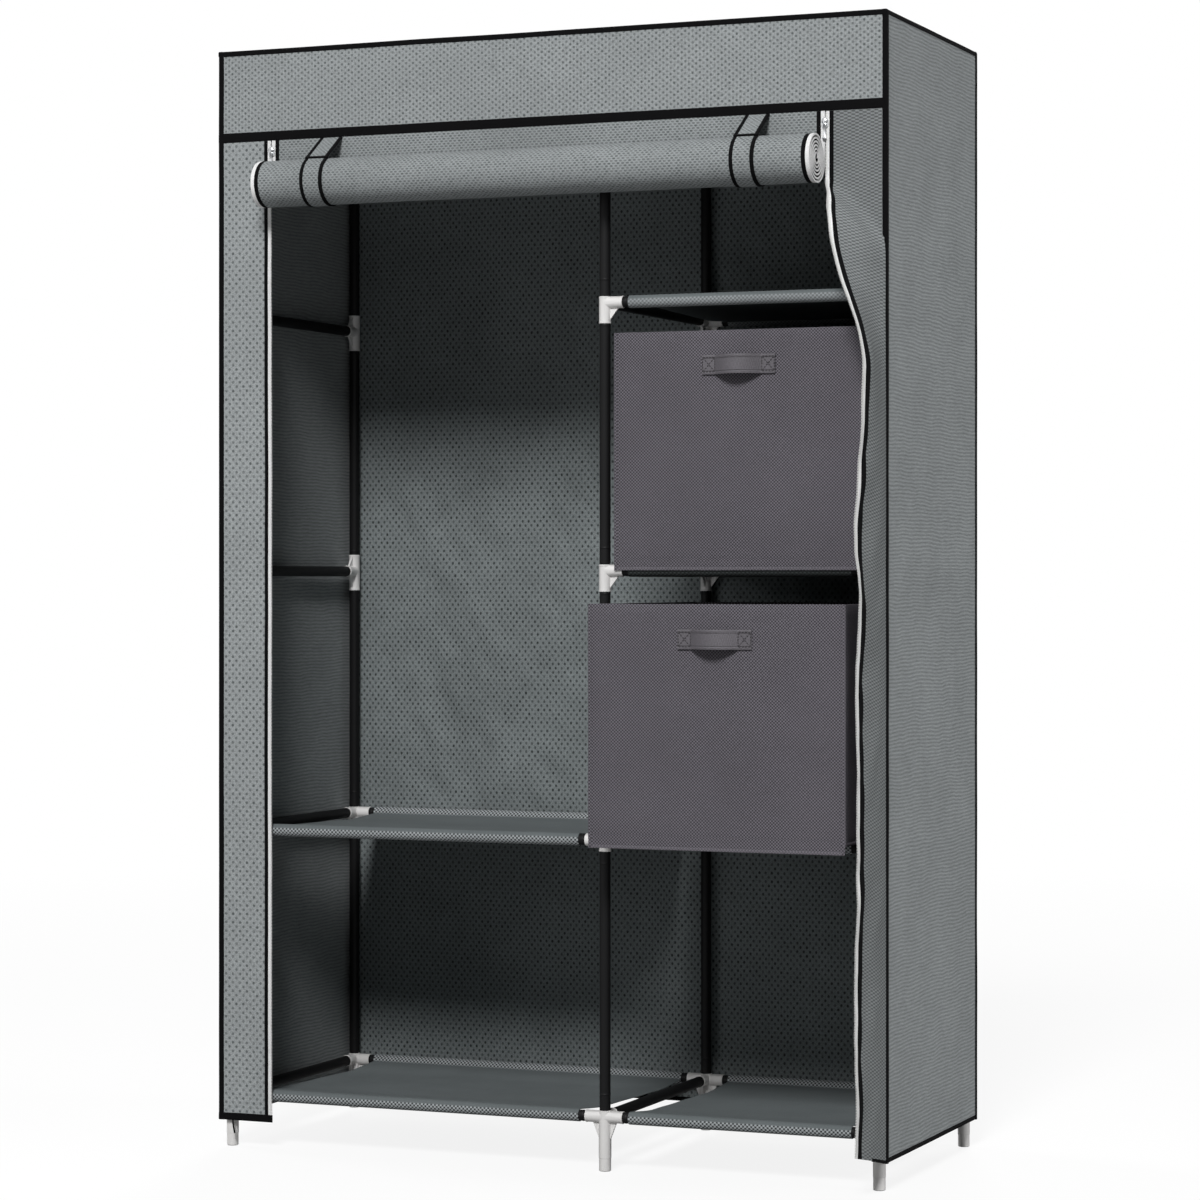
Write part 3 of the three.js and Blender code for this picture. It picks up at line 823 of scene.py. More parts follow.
def add_frame():
    for level, z in LEVELS.items():
        for column, x in COLUMNS.items():
            node_name = f"crossbar_{column}_{level}"
            kind = KINDS.get((column, level)) or {"bottom": "foot", "top": "cap"}.get(level, "middle")
            for row, y in ROWS.items():
                connector(
                    f"connector_{column}_{level}_{row}", Vector((x, y, z)),
                    arms_of(column, level), INWARD[row], kind, [node_name],
                )
            tube(
                f"depth_tube_{column}_{level}",
                (x, ROWS["front"] + SEAT, z), (x, ROWS["back"] - SEAT, z), [node_name],
            )
    for column, x in COLUMNS.items():
        for row, y in ROWS.items():
            for below, above in zip(LEVEL_NAMES, LEVEL_NAMES[1:]):
                tube(
                    f"upright_tube_{column}_{row}_{below}",
                    (x, y, LEVELS[below] + HUB_RADIUS + UPRIGHT_GAP), (x, y, LEVELS[above] - SEAT),
                    [f"upright_{column}_{row}"],
                )
    for level, z in LEVELS.items():
        for bay, (start, end) in BAYS.items():
            if not has_rails(bay, level):
                continue
            for row, y in ROWS.items():
                whole = level in ("bottom", "top")
                name = f"rail_{level}_{row}" if whole else f"rail_{bay}_{level}_{row}"
                tube(
                    f"rail_tube_{bay}_{level}_{row}",
                    (COLUMNS[start] + SEAT, y, z), (COLUMNS[end] - SEAT, y, z), [name],
                )


def add_hanging_rail():
    z, y = LEVELS["top"], middle("hanging_rail").y
    tube(
        "hanging_rail_tube", (COLUMNS["left"] + SEAT, y, z), (COLUMNS["centre"] - SEAT, y, z),
        ["hanging_rail"],
    )
    for column, angle in (("left", 0.0), ("centre", math.pi)):
        body = aimed(long_sleeve(SOCKET_HALF, SOCKET_HALF), ORIGIN, Y_AXIS)
        combine(body, aimed(socket_arm(ARM_REACH), ORIGIN, X_AXIS), "UNION")
        combine(body, aimed(bore(ARM_REACH), ORIGIN, X_AXIS), "DIFFERENCE")
        half = SOCKET_BORE_HALF
        through = turned("through", [(0, -half), (BORE_RADIUS, -half), (BORE_RADIUS, half), (0, half)])
        combine(body, aimed(through, ORIGIN, Y_AXIS), "DIFFERENCE")
        body.data.transform(Matrix.Rotation(angle, 4, "Z"))
        place = (COLUMNS[column], y, z)
        plastic_piece(body, f"hanging_socket_{column}", place, [f"crossbar_{column}_top"])


# Soft lumps and creases in hanging cloth
def fade(share):
    """Rises from 0 at both edges to 1 in the middle."""
    return min(1.0, 6 * share, 6 * (1 - share)) if 0 < share < 1 else 0.0


def lumps(u, v, size, seed):
    return noise.noise(Vector((u / size[0], v / size[1], seed)))


def crease(u, v, start, end, width):
    """A soft ridge along a line between two places, from 0 away from it to 1 on it."""
    line = Vector(end) - Vector(start)
    place = Vector((u, v)) - Vector(start)
    share = max(0.0, min(1.0, place.dot(line) / line.length_squared))
    off = (place - line * share).length
    return math.exp(-((off / width) ** 2)) * math.sin(math.pi * (0.1 + 0.8 * share))


# Creases and bulges of the back cloth: height, start, end and width, on the flat cloth
BACK_CREASES = (
    (-0.0042, (0.088, 0.915), (0.108, 0.845), 0.011),
    (0.0040, (0.110, 0.640), (0.187, 0.436), 0.012),
    (0.0060, (0.556, 0.420), (0.550, 0.080), 0.020),
    (0.0035, (0.06, 0.98), (0.30, 0.62), 0.016),
    (-0.0030, (0.10, 0.84), (0.24, 0.95), 0.012),
    (0.0028, (0.20, 0.50), (0.36, 0.72), 0.014),
    (-0.0026, (0.12, 0.72), (0.22, 0.46), 0.012),
)
RAIL_PRESS = 0.0012
RAIL_PRESS_WIDTH = 0.03
SEAM_GAP = 0.0003


def cover_panel(name, width, length, step, place, finish, node_name):
    """One sheet of the cover, in place of its part of the imported model."""
    panel = cloth(name, width, length, step, place)
    dress(panel, finish, nodes=[node_name])


def add_sides(depth, height):
    for name, sign in SIDES.items():
        wall = sign * (SIDE - CLOTH / 2)

        def place(u, v, sign=sign, wall=wall):
            bow = 0.0016 * lumps(u, v, (0.16, 0.3), 3 + sign) + 0.0009 * lumps(u, v, (0.05, 0.09), 8)
            for level in LEVELS.values():
                bow += RAIL_PRESS * math.exp(-(((v + HEM - level) / RAIL_PRESS_WIDTH) ** 2))
            return (wall + sign * bow * fade(u / depth) * fade(v / height), FRONT + u, HEM + v)

        cover_panel(
            f"{name}_side_cloth", depth, height, (0.0105, 0.0105), place,
            cover_side, f"cover_{name}",
        )


def add_back(width, height):
    def place(u, v):
        bow = 0.0036 * lumps(u, v, (0.11, 0.16), 21) + 0.0034 * lumps(u + v / 2, v, (0.034, 0.05), 5)
        bow += 0.0010 * lumps(u, v, (0.016, 0.020), 12)
        for rise, start, end, breadth in BACK_CREASES:
            bow += rise * crease(u, v, start, end, breadth)
        share = fade(u / width) * fade(v / height)
        return (u - width / 2, BACK - CLOTH / 2 - (0.001 + bow) * share, HEM + v)

    cover_panel(
        "back_cloth", width, height, (0.009, 0.009), place, cover_back, "cover_back",
    )


def add_top(width, depth):
    def place(u, v):
        sag = 0.00028 * (1 + lumps(u, v, (0.12, 0.12), 31)) * fade(u / width) * fade(v / depth)
        return (u - SIDE, FRONT + v, TOP - CLOTH / 2 - sag)

    cover_panel(
        "cover_top_cloth", width, depth, (0.012, 0.012), place,
        cover_fine, "cover_top",
    )


def add_header(width):
    band = high("header_band").z - HEADER_HEM

    def place(u, v):
        ripple = 0.0016 * lumps(u, v, (0.018, 0.2), 40) * max(0.0, v / band - 0.35)
        bow = 0.0014 * lumps(u, v, (0.09, 0.06), 44)
        free = max(0.0, v - HEADER_BINDING)
        share = fade(u / width) * min(1.0, free / 0.03) * min(1.0, 6 * (1 - v / band))
        return (u - width / 2, FRONT + CLOTH / 2 - (ripple + bow) * share, HEADER_HEM + v)

    cover_panel(
        "header_cloth", width, band, (0.007, 0.007), place, cover_header, "header_band",
    )


def add_cover():
    depth = BACK - FRONT
    height = low("cover_top").z - SEAM_GAP - HEM
    width = 2 * (SIDE - CLOTH)
    add_sides(depth, height)
    add_back(width, height)
    add_top(2 * SIDE, depth)
    add_header(width)


# Front strips, with their half of the zip
TAPE_TUCK = 0.0009
TAPE_SHORT = 0.0015
TAPE_THICKNESS = 0.0012
TEETH_ROOT = 0.0036
TEETH_TIP = 0.0002
TOOTH_PITCH = 0.0021
TOOTH_HALVES = (0.0007, 0.0005)
TOOTH_DEPTH = 0.0010
TRIM_STEPS = 150
TRIM_FOOT = HEM_BINDING * 0.8
SLACK_BINDING = 0.0048
SLACK_BELOW = 0.885
SLACK_EASE = 0.06


def strip_edges():
    """The front strips' cloth runs from the side panel to the zip's black binding."""
    return SIDE - CLOTH, ZIP_LINE + TAPE + BINDING


def strip_size():
    outer, inner = strip_edges()
    return outer - inner, HEADER_HEM - SEAM_GAP - HEM


def add_left_strip():
    outer = strip_edges()[0]
    width, height = strip_size()

    def place(u, v):
        sway = 0.0018 * lumps(u, v, (0.2, 0.24), 51) + 0.0007 * lumps(u, v, (0.03, 0.07), 5)
        return Vector((-outer + u, FRONT + CLOTH / 2 - sway * min(1.0, 3 * u / width), HEM + v))

    cover_panel(
        "left_strip_cloth", width, height, (0.0075, 0.009), place,
        cover_front, "left_strip",
    )
    strip_trim("left_strip", lambda offset, v: place(width + offset, v), height, TRIM_FOOT)


def strip_trim(name, edge, height, foot=0.0, slack=0.0):
    """The black binding, the white zip half and its teeth down a strip's free edge."""
    rows = [foot + (height - foot) * i / TRIM_STEPS for i in range(TRIM_STEPS + 1)]

    def loose(v):
        """0 where the trim lies flat under the header, 1 where the slack flap carries it."""
        return min(1.0, max(0.0, (SLACK_BELOW - v / height) / SLACK_EASE))

    def run(piece, nearest, farthest, thickness):
        rings = []
        for v in rows:
            near, far = nearest(v), farthest(v)
            here = edge((near + far) / 2, v)
            side = (edge(far, v) - edge(near, v)).normalized()
            section = tape_section(far - near, thickness, side, Z_AXIS.cross(side))
            rings.append([here + offset for offset in section])
        return skin(f"{name}_{piece}", rings)

    black = run("binding", lambda v: -slack * loose(v), lambda v: BINDING, BINDING_THICKNESS)
    dress(black, binding_cloth)
    white = run(
        "zip_tape", lambda v: BINDING - TAPE_TUCK, lambda v: BINDING + TAPE - TAPE_SHORT, TAPE_THICKNESS,
    )
    dress(white, zip_tape)
    zip_edge = BINDING + TAPE
    teeth(
        f"{name}_zip_teeth",
        lambda v: (edge(zip_edge - TEETH_ROOT, v), edge(zip_edge - TEETH_TIP, v)), foot, height,
    )


def teeth(name, ends, start, end):
    """A row of moulded teeth, each a small tapered block between two places."""
    vertices, faces, uvs = [], [], []
    for i in range(int((end - start) / TOOTH_PITCH)):
        v = start + TOOTH_PITCH * (i + 0.5)
        root, tip = ends(v)
        out = (tip - root).normalized()
        up = (ends(v + TOOTH_PITCH / 4)[0] - ends(v - TOOTH_PITCH / 4)[0]).normalized()
        face = out.cross(up)
        first = len(vertices)
        for base, half in zip((root, tip), TOOTH_HALVES):
            for a, b in ((-1, -1), (1, -1), (1, 1), (-1, 1)):
                vertices.append(base + up * (a * half) + face * (b * TOOTH_DEPTH))
                uvs.append((0, v))
        for quad in ((3, 2, 1, 0), (4, 5, 6, 7), (0, 1, 5, 4), (1, 2, 6, 5), (2, 3, 7, 6), (3, 0, 4, 7)):
            faces.append(tuple(first + k for k in quad))
    obj = linked(name, vertices, faces)
    write_uv(obj, uvs)
    tidy_normals(obj)
    dress(obj, teeth_plastic)


# Slack right strip: shares of its height, each with its swing in degrees and the share of its width
FLAP = (
    (1, 0, 1), (0.971, 0, 1), (0.95, 21, 0.925), (0.927, 39.5, 0.985), (0.897, 47.5, 1),
    (0.864, 59, 1), (0.83, 72.5, 1), (0.8, 82.5, 1), (0.771, 87, 1), (0.713, 86, 1),
    (0.656, 82, 1), (0.596, 78.5, 1), (0.569, 81.5, 1), (0.543, 84, 1), (0.467, 80.5, 1),
    (0.298, 82, 1), (0.119, 78.5, 1), (0.047, 80.5, 1), (0, 79.5, 1),
)
FLAP_BOW = 0.003
FLAP_RISE = 0.0185
FLAP_HOLD = 0.049
FLAP_LAG = 0.085
FLAP_HEM_SHARE = 0.62
FLAP_HEM_STEPS = 8
FLAP_HEM_DROP = 0.0010
FLAP_HEM_BINDING = 0.0046
CURL_SWING = math.radians(6)
CURL_ANGLE = math.radians(30)
CURL_WIDTH = 0.028
CURL_START = 0.68
CURL_STRETCH = 0.205


def flap_station(v, height):
    """The swing and the share of the width at a height, eased between the listed stations."""
    share = v / (height - FLAP_HOLD)
    if share >= 1:
        return 0.0, 1.0
    for i in range(len(FLAP) - 1):
        if FLAP[i + 1][0] <= share:
            break
    t = (share - FLAP[i + 1][0]) / (FLAP[i][0] - FLAP[i + 1][0])
    near, far = FLAP[i + 1], FLAP[i]
    before, after = FLAP[min(i + 2, len(FLAP) - 1)], FLAP[max(i - 1, 0)]
    eased = []
    for k in (1, 2):
        m0, m1 = (far[k] - before[k]) / 2, (after[k] - near[k]) / 2
        if i == 0 or near[k] == far[k]:
            m0 = m1 = 0.0
        eased.append(
            (2 * t**3 - 3 * t**2 + 1) * near[k] + (t**3 - 2 * t**2 + t) * m0
            + (3 * t**2 - 2 * t**3) * far[k] + (t**3 - t**2) * m1
        )
    return math.radians(max(0.0, eased[0])), min(1.0, eased[1])


def flap_curl(v, height):
    """How far the flap's edge curls back: 1 in the middle of a stretch below the header, 0 outside it."""
    t = (v / height - CURL_START) / CURL_STRETCH
    return math.sin(math.pi * t) ** 2 if 0 < t < 1 else 0.0


def add_right_flap():
    outer = strip_edges()[0]
    width, height = strip_size()
    whole = width + BINDING + TAPE

    def place(u, v):
        swing, share = flap_station(v + FLAP_LAG * (1 - min(1.0, u / whole)), height)
        curl = flap_curl(v, height)
        swing += CURL_SWING * curl
        belly = whole / 2 * math.sqrt(1 - share**2) + FLAP_BOW * math.sin(swing)
        bow = belly * math.sin(math.pi * min(1.0, u / whole))
        creased = 0.0022 * lumps(u + v / 3, v, (0.03, 0.07), 61) + 0.0008 * lumps(u, v, (0.012, 0.03), 3)
        bow += creased * (min(1.0, 4 * u / width) * min(1.0, swing * 2))
        across = u * share
        x = outer - across * math.cos(swing) + bow * math.sin(swing)
        y = FRONT + CLOTH / 2 - across * math.sin(swing) - bow * math.cos(swing)
        past = max(0.0, u - (whole - CURL_WIDTH))
        turned_by = past**2 / CURL_WIDTH if past < CURL_WIDTH / 2 else past - CURL_WIDTH / 4
        back = swing - CURL_ANGLE * curl
        x -= turned_by * (math.cos(back) - math.cos(swing))
        y -= turned_by * (math.sin(back) - math.sin(swing))
        return Vector((x, y, HEM + v + FLAP_RISE * math.sin(swing) * u / whole))

    cover_panel(
        "right_flap_cloth", width, height, (0.006, 0.008), place, cover_flap, "right_flap",
    )
    strip_trim("right_flap", lambda offset, v: place(width + offset, v), height, slack=SLACK_BINDING)
    band, end = FLAP_HEM_BINDING, width * FLAP_HEM_SHARE
    across = (place(end, band / 2) - place(0, band / 2)).normalized()
    section = tape_section(band, BINDING_THICKNESS, Z_AXIS, across.cross(Z_AXIS))
    rings = []
    for i in range(FLAP_HEM_STEPS + 1):
        here = place(end * i / FLAP_HEM_STEPS, band / 2 - FLAP_HEM_DROP)
        rings.append([here + offset for offset in section])
    dress(skin("hem_binding_right_flap", rings), binding_cloth)


# Door, rolled up from its folded middle
ALL_TURNS = 6.0
ROLL_STEPS = 40
ROLL_PITCH = 0.0050
ROLL_PAIR = 0.0013
ROLL_START = 0.1
ROLL_START_PAIR = 0.0012
ROLL_START_SPREAD = 0.006
ROLL_ROUND_SHARE = 0.7
ROLL_STEP_SHARE = 0.3
ROLL_INSET = 0.0008
FOLD_END = 0.08
FOLD_RADIUS = 0.0007
TAIL_STEPS = 6
DOOR_COLUMNS = 60
DOOR_BINDING_THICKNESS = 0.0011
DOOR_TAPE_THICKNESS = 0.0010
DOOR_TAPE_SHORT = 0.0004
INNER_BINDING_END = 0.0015
INNER_TAPE_START = 0.0014


def roll_radius(turn):
    """Radius of a layer: round for most of a turn, then stepping in to the next ring."""
    whole = math.floor(turn)
    step = max(0.0, turn - whole - ROLL_ROUND_SHARE) / ROLL_STEP_SHARE
    ring = whole + step * step * (3 - 2 * step)
    return ROLL_RADIUS - ROLL_INSET - ROLL_PITCH * ring


def roll_gap(turn):
    """How far the folded half of the door lies inside its other half."""
    return ROLL_PAIR if turn > ROLL_START else ROLL_START_PAIR + ROLL_START_SPREAD * turn


def on_roll(radius, angle):
    """A place in Y and Z about the roll's middle, at an angle in radians."""
    return Vector((ROLL.y + radius * math.cos(angle), ROLL.z + radius * math.sin(angle)))


def door_path():
    """The door's cloth in Y and Z: down from the hem, round and in, folded, and out again."""
    tail_y = ROLL.y + roll_radius(0)
    path = [Vector((tail_y, HEADER_HEM - ROLL_DROP * i / TAIL_STEPS)) for i in range(TAIL_STEPS)]
    turns = [i / ROLL_STEPS for i in range(int(ALL_TURNS * ROLL_STEPS) + 1)]
    path += [on_roll(roll_radius(t), -math.tau * t) for t in turns]
    back = [t for t in reversed(turns) if t > FOLD_END]
    return path + [on_roll(max(roll_radius(t) - roll_gap(t), FOLD_RADIUS), -math.tau * t) for t in back]


def ribbon_rings(path, spans, thickness):
    """Rings for a strip of cloth along a path in Y and Z, each between its two places along X."""
    rings = []
    for i, (point, (x0, x1)) in enumerate(zip(path, spans)):
        out = outwards(path, i) * thickness / 2
        a, b = point + out, point - out
        rings.append([(x0, a.x, a.y), (x1, a.x, a.y), (x1, b.x, b.y), (x0, b.x, b.y)])
    return rings


def add_door():
    path = door_path()
    marks = marks_along(path)
    half = ZIP_LINE - TAPE - BINDING
    vertices, uvs = [], []
    for j, point in enumerate(path):
        out = outwards(path, j)
        shown = 1.0 if j < ROLL_STEPS else 0.0
        for i in range(DOOR_COLUMNS + 1):
            u = 2 * half * i / DOOR_COLUMNS
            bulge = 0.0007 * lumps(u, marks[j], (0.14, 0.05), 71) * shown * fade(i / DOOR_COLUMNS)
            here = point - out * bulge
            vertices.append((u - half, here.x, here.y))
            uvs.append((u, marks[j]))
    door = thickened("door_roll_cloth", vertices, uvs, DOOR_COLUMNS)
    dress(door, cover_fine, nodes=["door_panel"])
    hidden = range(TAIL_STEPS + ROLL_STEPS, len(path) - ROLL_STEPS)

    def seam(sign, inset):
        """Where binding and zip tape meet, close to the tape's edge in the roll's inner turns."""
        return [
            sign * (ZIP_LINE - inset if j in hidden else half + BINDING) for j in range(len(path))
        ]

    for name, sign in SIDES.items():
        spans = [(sign * half, x) for x in seam(sign, INNER_BINDING_END)]
        black = skin(f"door_binding_{name}", ribbon_rings(path, spans, DOOR_BINDING_THICKNESS), 60)
        dress(black, binding_cloth)
        edge = sign * (ZIP_LINE - DOOR_TAPE_SHORT)
        spans = [(x, edge) for x in seam(sign, INNER_TAPE_START)]
        white = skin(f"door_zip_tape_{name}", ribbon_rings(path, spans, DOOR_TAPE_THICKNESS), 60)
        dress(white, zip_tape)


# Straps that hold the roll
BAND_END = 125
BAND_STEPS = 48
BAND_LOWER = 0.0008
BAND_RISE = 0.018
BAND_DROP = 0.03
BAND_TIPS = (0.004, 0.008)
TAB_OVER = 0.0026
TAB_STEPS = 12
TAB_SHARE = 0.90
TAB_ROOT = (0.0010, 0.0008)
STRAP_THICKNESS = 0.0009
STRAP_BINDING_THICKNESS = 0.0017
END_BINDING = ((0.0012, 0.0009), (0.0012, -0.0009), (-0.0026, -0.0009), (-0.0026, 0.0009))


def strap(name, path, centre, body, open_end):
    """One strap: its cloth, and a black binding round its edges and its free end."""
    half = STRAP_WIDTH / 2
    inner = half - STRAP_BINDING / 2
    spans = [(centre - inner, centre + inner)] * len(path)
    piece = skin(f"{name}_cloth", ribbon_rings(path, spans, STRAP_THICKNESS), 50)
    dress(piece, cover_fine, body, [name])
    trims = []
    for side, sign in SIDES.items():
        x0, x1 = sorted((centre + sign * half, centre + sign * (half - STRAP_BINDING)))
        trims.append(skin(f"{name}_binding_{side}", strap_rings(path, x0, x1), 50))
    if open_end:
        along = (path[-1] - path[-2]).normalized()
        out = Vector((-along.y, along.x))
        section = [path[-1] + along * a + out * b for a, b in END_BINDING]
        rings = [[(centre + s * half, q.x, q.y) for q in section] for s in (-1, -0.5, 0, 0.5, 1)]
        trims.append(skin(f"{name}_end_binding", rings))
    for trim in trims:
        dress(trim, binding_cloth, body)
    length = marks_along(path)[-1]


def strap_rings(path, x0, x1):
    rings = []
    for i, point in enumerate(path):
        out = outwards(path, i)
        here = Vector(((x0 + x1) / 2, point.x, point.y))
        section = tape_section(x1 - x0, STRAP_BINDING_THICKNESS, X_AXIS, Vector((0, out.x, out.y)))
        rings.append([here + offset for offset in section])
    return rings


def band_path():
    """From the header's back down, and round under the roll to its front."""
    radius = ROLL_RADIUS + BAND_LOWER
    path = [Vector((ROLL.y + radius, HEADER_HEM + z)) for z in (BAND_RISE, -BAND_DROP)]
    turn = BAND_END - 360
    path += [on_roll(radius, math.radians(turn * i / BAND_STEPS)) for i in range(BAND_STEPS + 1)]
    onward = (path[-1] - path[-2]).normalized()
    return path + [path[-1] + onward * tip for tip in BAND_TIPS]


def tab_path():
    """From the header's hem straight to where it would touch the roll."""
    pivot = Vector((FRONT - TAB_ROOT[0], HEADER_HEM - TAB_ROOT[1]))
    over = ROLL_RADIUS + TAB_OVER
    out = pivot - ROLL.yz
    touch = on_roll(over, math.atan2(out.y, out.x) + math.acos(over / out.length))
    return [pivot.lerp(touch, TAB_SHARE * i / TAB_STEPS) for i in range(TAB_STEPS + 1)]


def add_straps():
    band, tab = band_path(), tab_path()
    for name, sign in SIDES.items():
        strap(f"strap_band_{name}", band, sign * STRAP_OFFSET, "wardrobe", False)
        strap(f"strap_tab_{name}", tab, sign * STRAP_OFFSET, f"{name}_tab", True)


# Bindings along the cover's edges, with two widths and how far the tape stands proud:
# the first width lies on the front or the back, the second on the side
CORNER_BINDINGS = {
    ("front", "left"): (0.0078, 0.0016, -0.0008), ("front", "right"): (0.0064, 0.0064, 0.0007),
    ("back", "left"): (0.0056, 0.0056, 0.0007), ("back", "right"): (0.0056, 0.0085, 0.0007),
}
EDGE_TAPE = 0.007
EDGE_TAPE_RISE = 0.0025
HEADER_BINDING_THICKNESS = 0.0018

# A loose end of tape under the left strip's hem: its size, its lean and its course in X and Z
LOOSE_SIZE = (0.0026, 0.0009)
LOOSE_LEAN = Vector((0.95, 0, 0.3))
LOOSE_OUT = 0.0004
LOOSE_STEP = 0.0006
LOOSE_END = (
    (-0.4915, 0.0400), (-0.4908, 0.0350), (-0.4896, 0.0290), (-0.4880, 0.0235), (-0.4872, 0.0205),
)


def bind(name, section, start, end, steps, sway=0.0004):
    """A black binding along a straight edge."""
    dress(straight(name, section, start, end, steps, sway), binding_cloth)


def add_bindings():
    thick = BINDING_THICKNESS
    rows = {"front": (FRONT, Y_AXIS), "back": (BACK, -Y_AXIS)}
    hem_z = HEM + EDGE_TAPE_RISE
    for side, sign in SIDES.items():
        x, inward_x = sign * SIDE, -sign * X_AXIS
        for row, (y, inward_y) in rows.items():
            on_row, on_side, proud = CORNER_BINDINGS[row, side]
            section = corner_section(on_row, thick, inward_x, inward_y, on_side)
            set_in = -inward_x * proud
            start, end = Vector((x, y, HEM - 0.001)) + set_in, Vector((x, y, TOP - 0.002)) + set_in
            bind(f"corner_binding_{side}_{row}", section, start, end, 60)
        section = corner_section(BINDING, thick, inward_x, -Z_AXIS)
        bind(f"top_binding_{side}", section, (x, FRONT, TOP), (x, BACK, TOP), 24)
        section = tape_section(EDGE_TAPE, thick, Z_AXIS, X_AXIS)
        wall = sign * (SIDE - CLOTH / 2)
        bind(f"hem_binding_{side}", section, (wall, FRONT, hem_z), (wall, BACK, hem_z), 24)
    for row, (y, inward_y) in rows.items():
        section = corner_section(EDGE_TAPE, thick, inward_y, -Z_AXIS)
        bind(f"top_binding_{row}", section, (-SIDE, y, TOP), (SIDE, y, TOP), 60)
    section = tape_section(EDGE_TAPE, thick, Z_AXIS, Y_AXIS)
    wall = BACK - CLOTH / 2
    bind("hem_binding_back", section, (-SIDE, wall, hem_z), (SIDE, wall, hem_z), 60)
    section = tape_section(HEM_BINDING, thick, Z_AXIS, Y_AXIS)
    y, z = FRONT + CLOTH / 2, HEM + HEM_BINDING / 2 - 0.001
    bind("hem_binding_left_strip", section, (-SIDE, y, z), (-ZIP_LINE + 0.0005, y, z), 8, 0.0)
    section = tape_section(*LOOSE_SIZE, LOOSE_LEAN, Y_AXIS)
    rings = []
    for i, (x, z) in enumerate(LOOSE_END):
        here = Vector((x, FRONT - LOOSE_OUT - LOOSE_STEP * i, z))
        rings.append([here + offset for offset in section])
    dress(skin("hem_binding_loose_end", rings), binding_cloth)
    section = tape_section(HEADER_BINDING, HEADER_BINDING_THICKNESS, Z_AXIS, Y_AXIS)
    y, z = FRONT + 0.0002, HEADER_HEM + HEADER_BINDING / 2
    bind("header_hem_binding", section, (-SIDE, y, z), (SIDE, y, z), 100, 0.0003)


# Shelves
SHELF_LEVELS = {"left": ("bottom", "first"), "right": ("bottom", "first", "second", "third")}
SHELF_CLOTH = 0.0007
SHELF_STEP = 0.012
SHELF_SPAN_STEPS = 24
SHELF_SAG = 0.0062
SLEEVE_SEAMS = (0.0275, 0.052)


def shelf_path():
    """A shelf's cloth in Y and Z about its level: round the front rail, back and round the other."""
    def loop(row, start, end, steps):
        path = []
        for i in range(steps + 1):
            angle = math.radians(start + (end - start) * i / steps)
            path.append(Vector((
                ROWS[row] + SLEEVE_RADIUS * math.cos(angle), SLEEVE_RADIUS * math.sin(angle),
            )))
        return path

    front, back = loop("front", -20, -270, 18), loop("back", 188, -165, 24)
    span = []
    for i in range(1, SHELF_SPAN_STEPS):
        share = i / SHELF_SPAN_STEPS
        sag = SHELF_SAG * min(1.0, 5 * share, 5 * (1 - share))
        span.append(front[-1].lerp(back[0], share) - Vector((0, sag)))
    return front + span + back


def shelf_cloths(length):
    """The shelves' cloth by name: its weave shows on the sleeves, and it is plain between them."""
    ends = (SLEEVE_SEAMS[0], length - SLEEVE_SEAMS[1], SHELF_PLAIN)
    cloths = {}
    for name, colour, contrast in (
        ("shelf cloth", SHELF, 0.8), ("shelf cloth with painted shade below a bin", PAINTED_SHADE_SHELF, 0.5),
        ("shelf cloth at the top", SHELF, 0.35),
    ):
        cloths[name] = woven(name, colour, SHELF_WEAVE, contrast, ends=ends)
    return cloths


def add_shelf(bay, level, path, finish):
    marks, z = marks_along(path), LEVELS[level]
    x0, x1 = COLUMNS[BAYS[bay][0]] + SLEEVE_END, COLUMNS[BAYS[bay][1]] - SLEEVE_END
    columns = round((x1 - x0) / SHELF_STEP)
    vertices, uvs = [], []
    for mark, point in zip(marks, path):
        share = mark / marks[-1]
        loose = fade(share) if 0.12 < share < 0.88 else 0.0
        for i in range(columns + 1):
            u = (x1 - x0) * i / columns
            soft = 0.0016 * lumps(u, mark, (0.1, 0.08), z * 9) * loose
            vertices.append((x0 + u, point.x, z + point.y - abs(soft)))
            uvs.append((u, mark))
    shelf = thickened(f"shelf_cloth_{bay}_{level}", vertices, uvs, columns, SHELF_CLOTH)
    dress(shelf, finish, nodes=[f"shelf_{bay}_{level}"])


def add_shelves():
    path = shelf_path()
    cloths = shelf_cloths(marks_along(path)[-1])
    # The shelf under the upper bin takes the cloth with painted shade, dark as the bin's shadow on its
    # sleeve
    special = {("right", "second"): "shelf cloth with painted shade below a bin", ("right", "third"): "shelf cloth at the top"}
    for bay, levels in SHELF_LEVELS.items():
        for level in levels:
            add_shelf(bay, level, path, cloths[special.get((bay, level), "shelf cloth")])


# Bins
BIN_WALL = 0.002
SKIRT_WALL = 0.001
BIN_SKIRT = 0.009
BIN_EASE = 0.0026
SKIRT_LENGTHS = {"lower": 0.0118, "upper": 0.009}
BIN_CUTS = 22
BIN_EDGE_ROUND = 0.0012
BIN_SEAM = 0.005
BIN_SEAM_THICKNESS = 0.0012
BIN_RIM = 0.013
BIN_RIM_THICKNESS = 0.0016
BIN_RIM_DROP = 0.0065
BIN_RIM_INSET = 0.0042
BIN_RIM_SHORT = 0.004
BASE_SEAM = 0.0046
BASE_SEAM_RISE = 0.0024
BASE_SEAM_PROUD = 0.0006
BOARD_THICKNESS = 0.0018
BOARD_INSET = 0.001
BOARD_RISE = 0.0012
BOARD_ROUND = 0.0008
SKIRT_SHORT = 0.001
SKIRT_OVER = 0.006
SKIRT_SEAM_OVER = 0.0015
SKIRT_SEAM_SINK = 0.0001
SIDE_FACES = {"front": OUT, "right": X_AXIS, "back": Y_AXIS, "left": -X_AXIS}


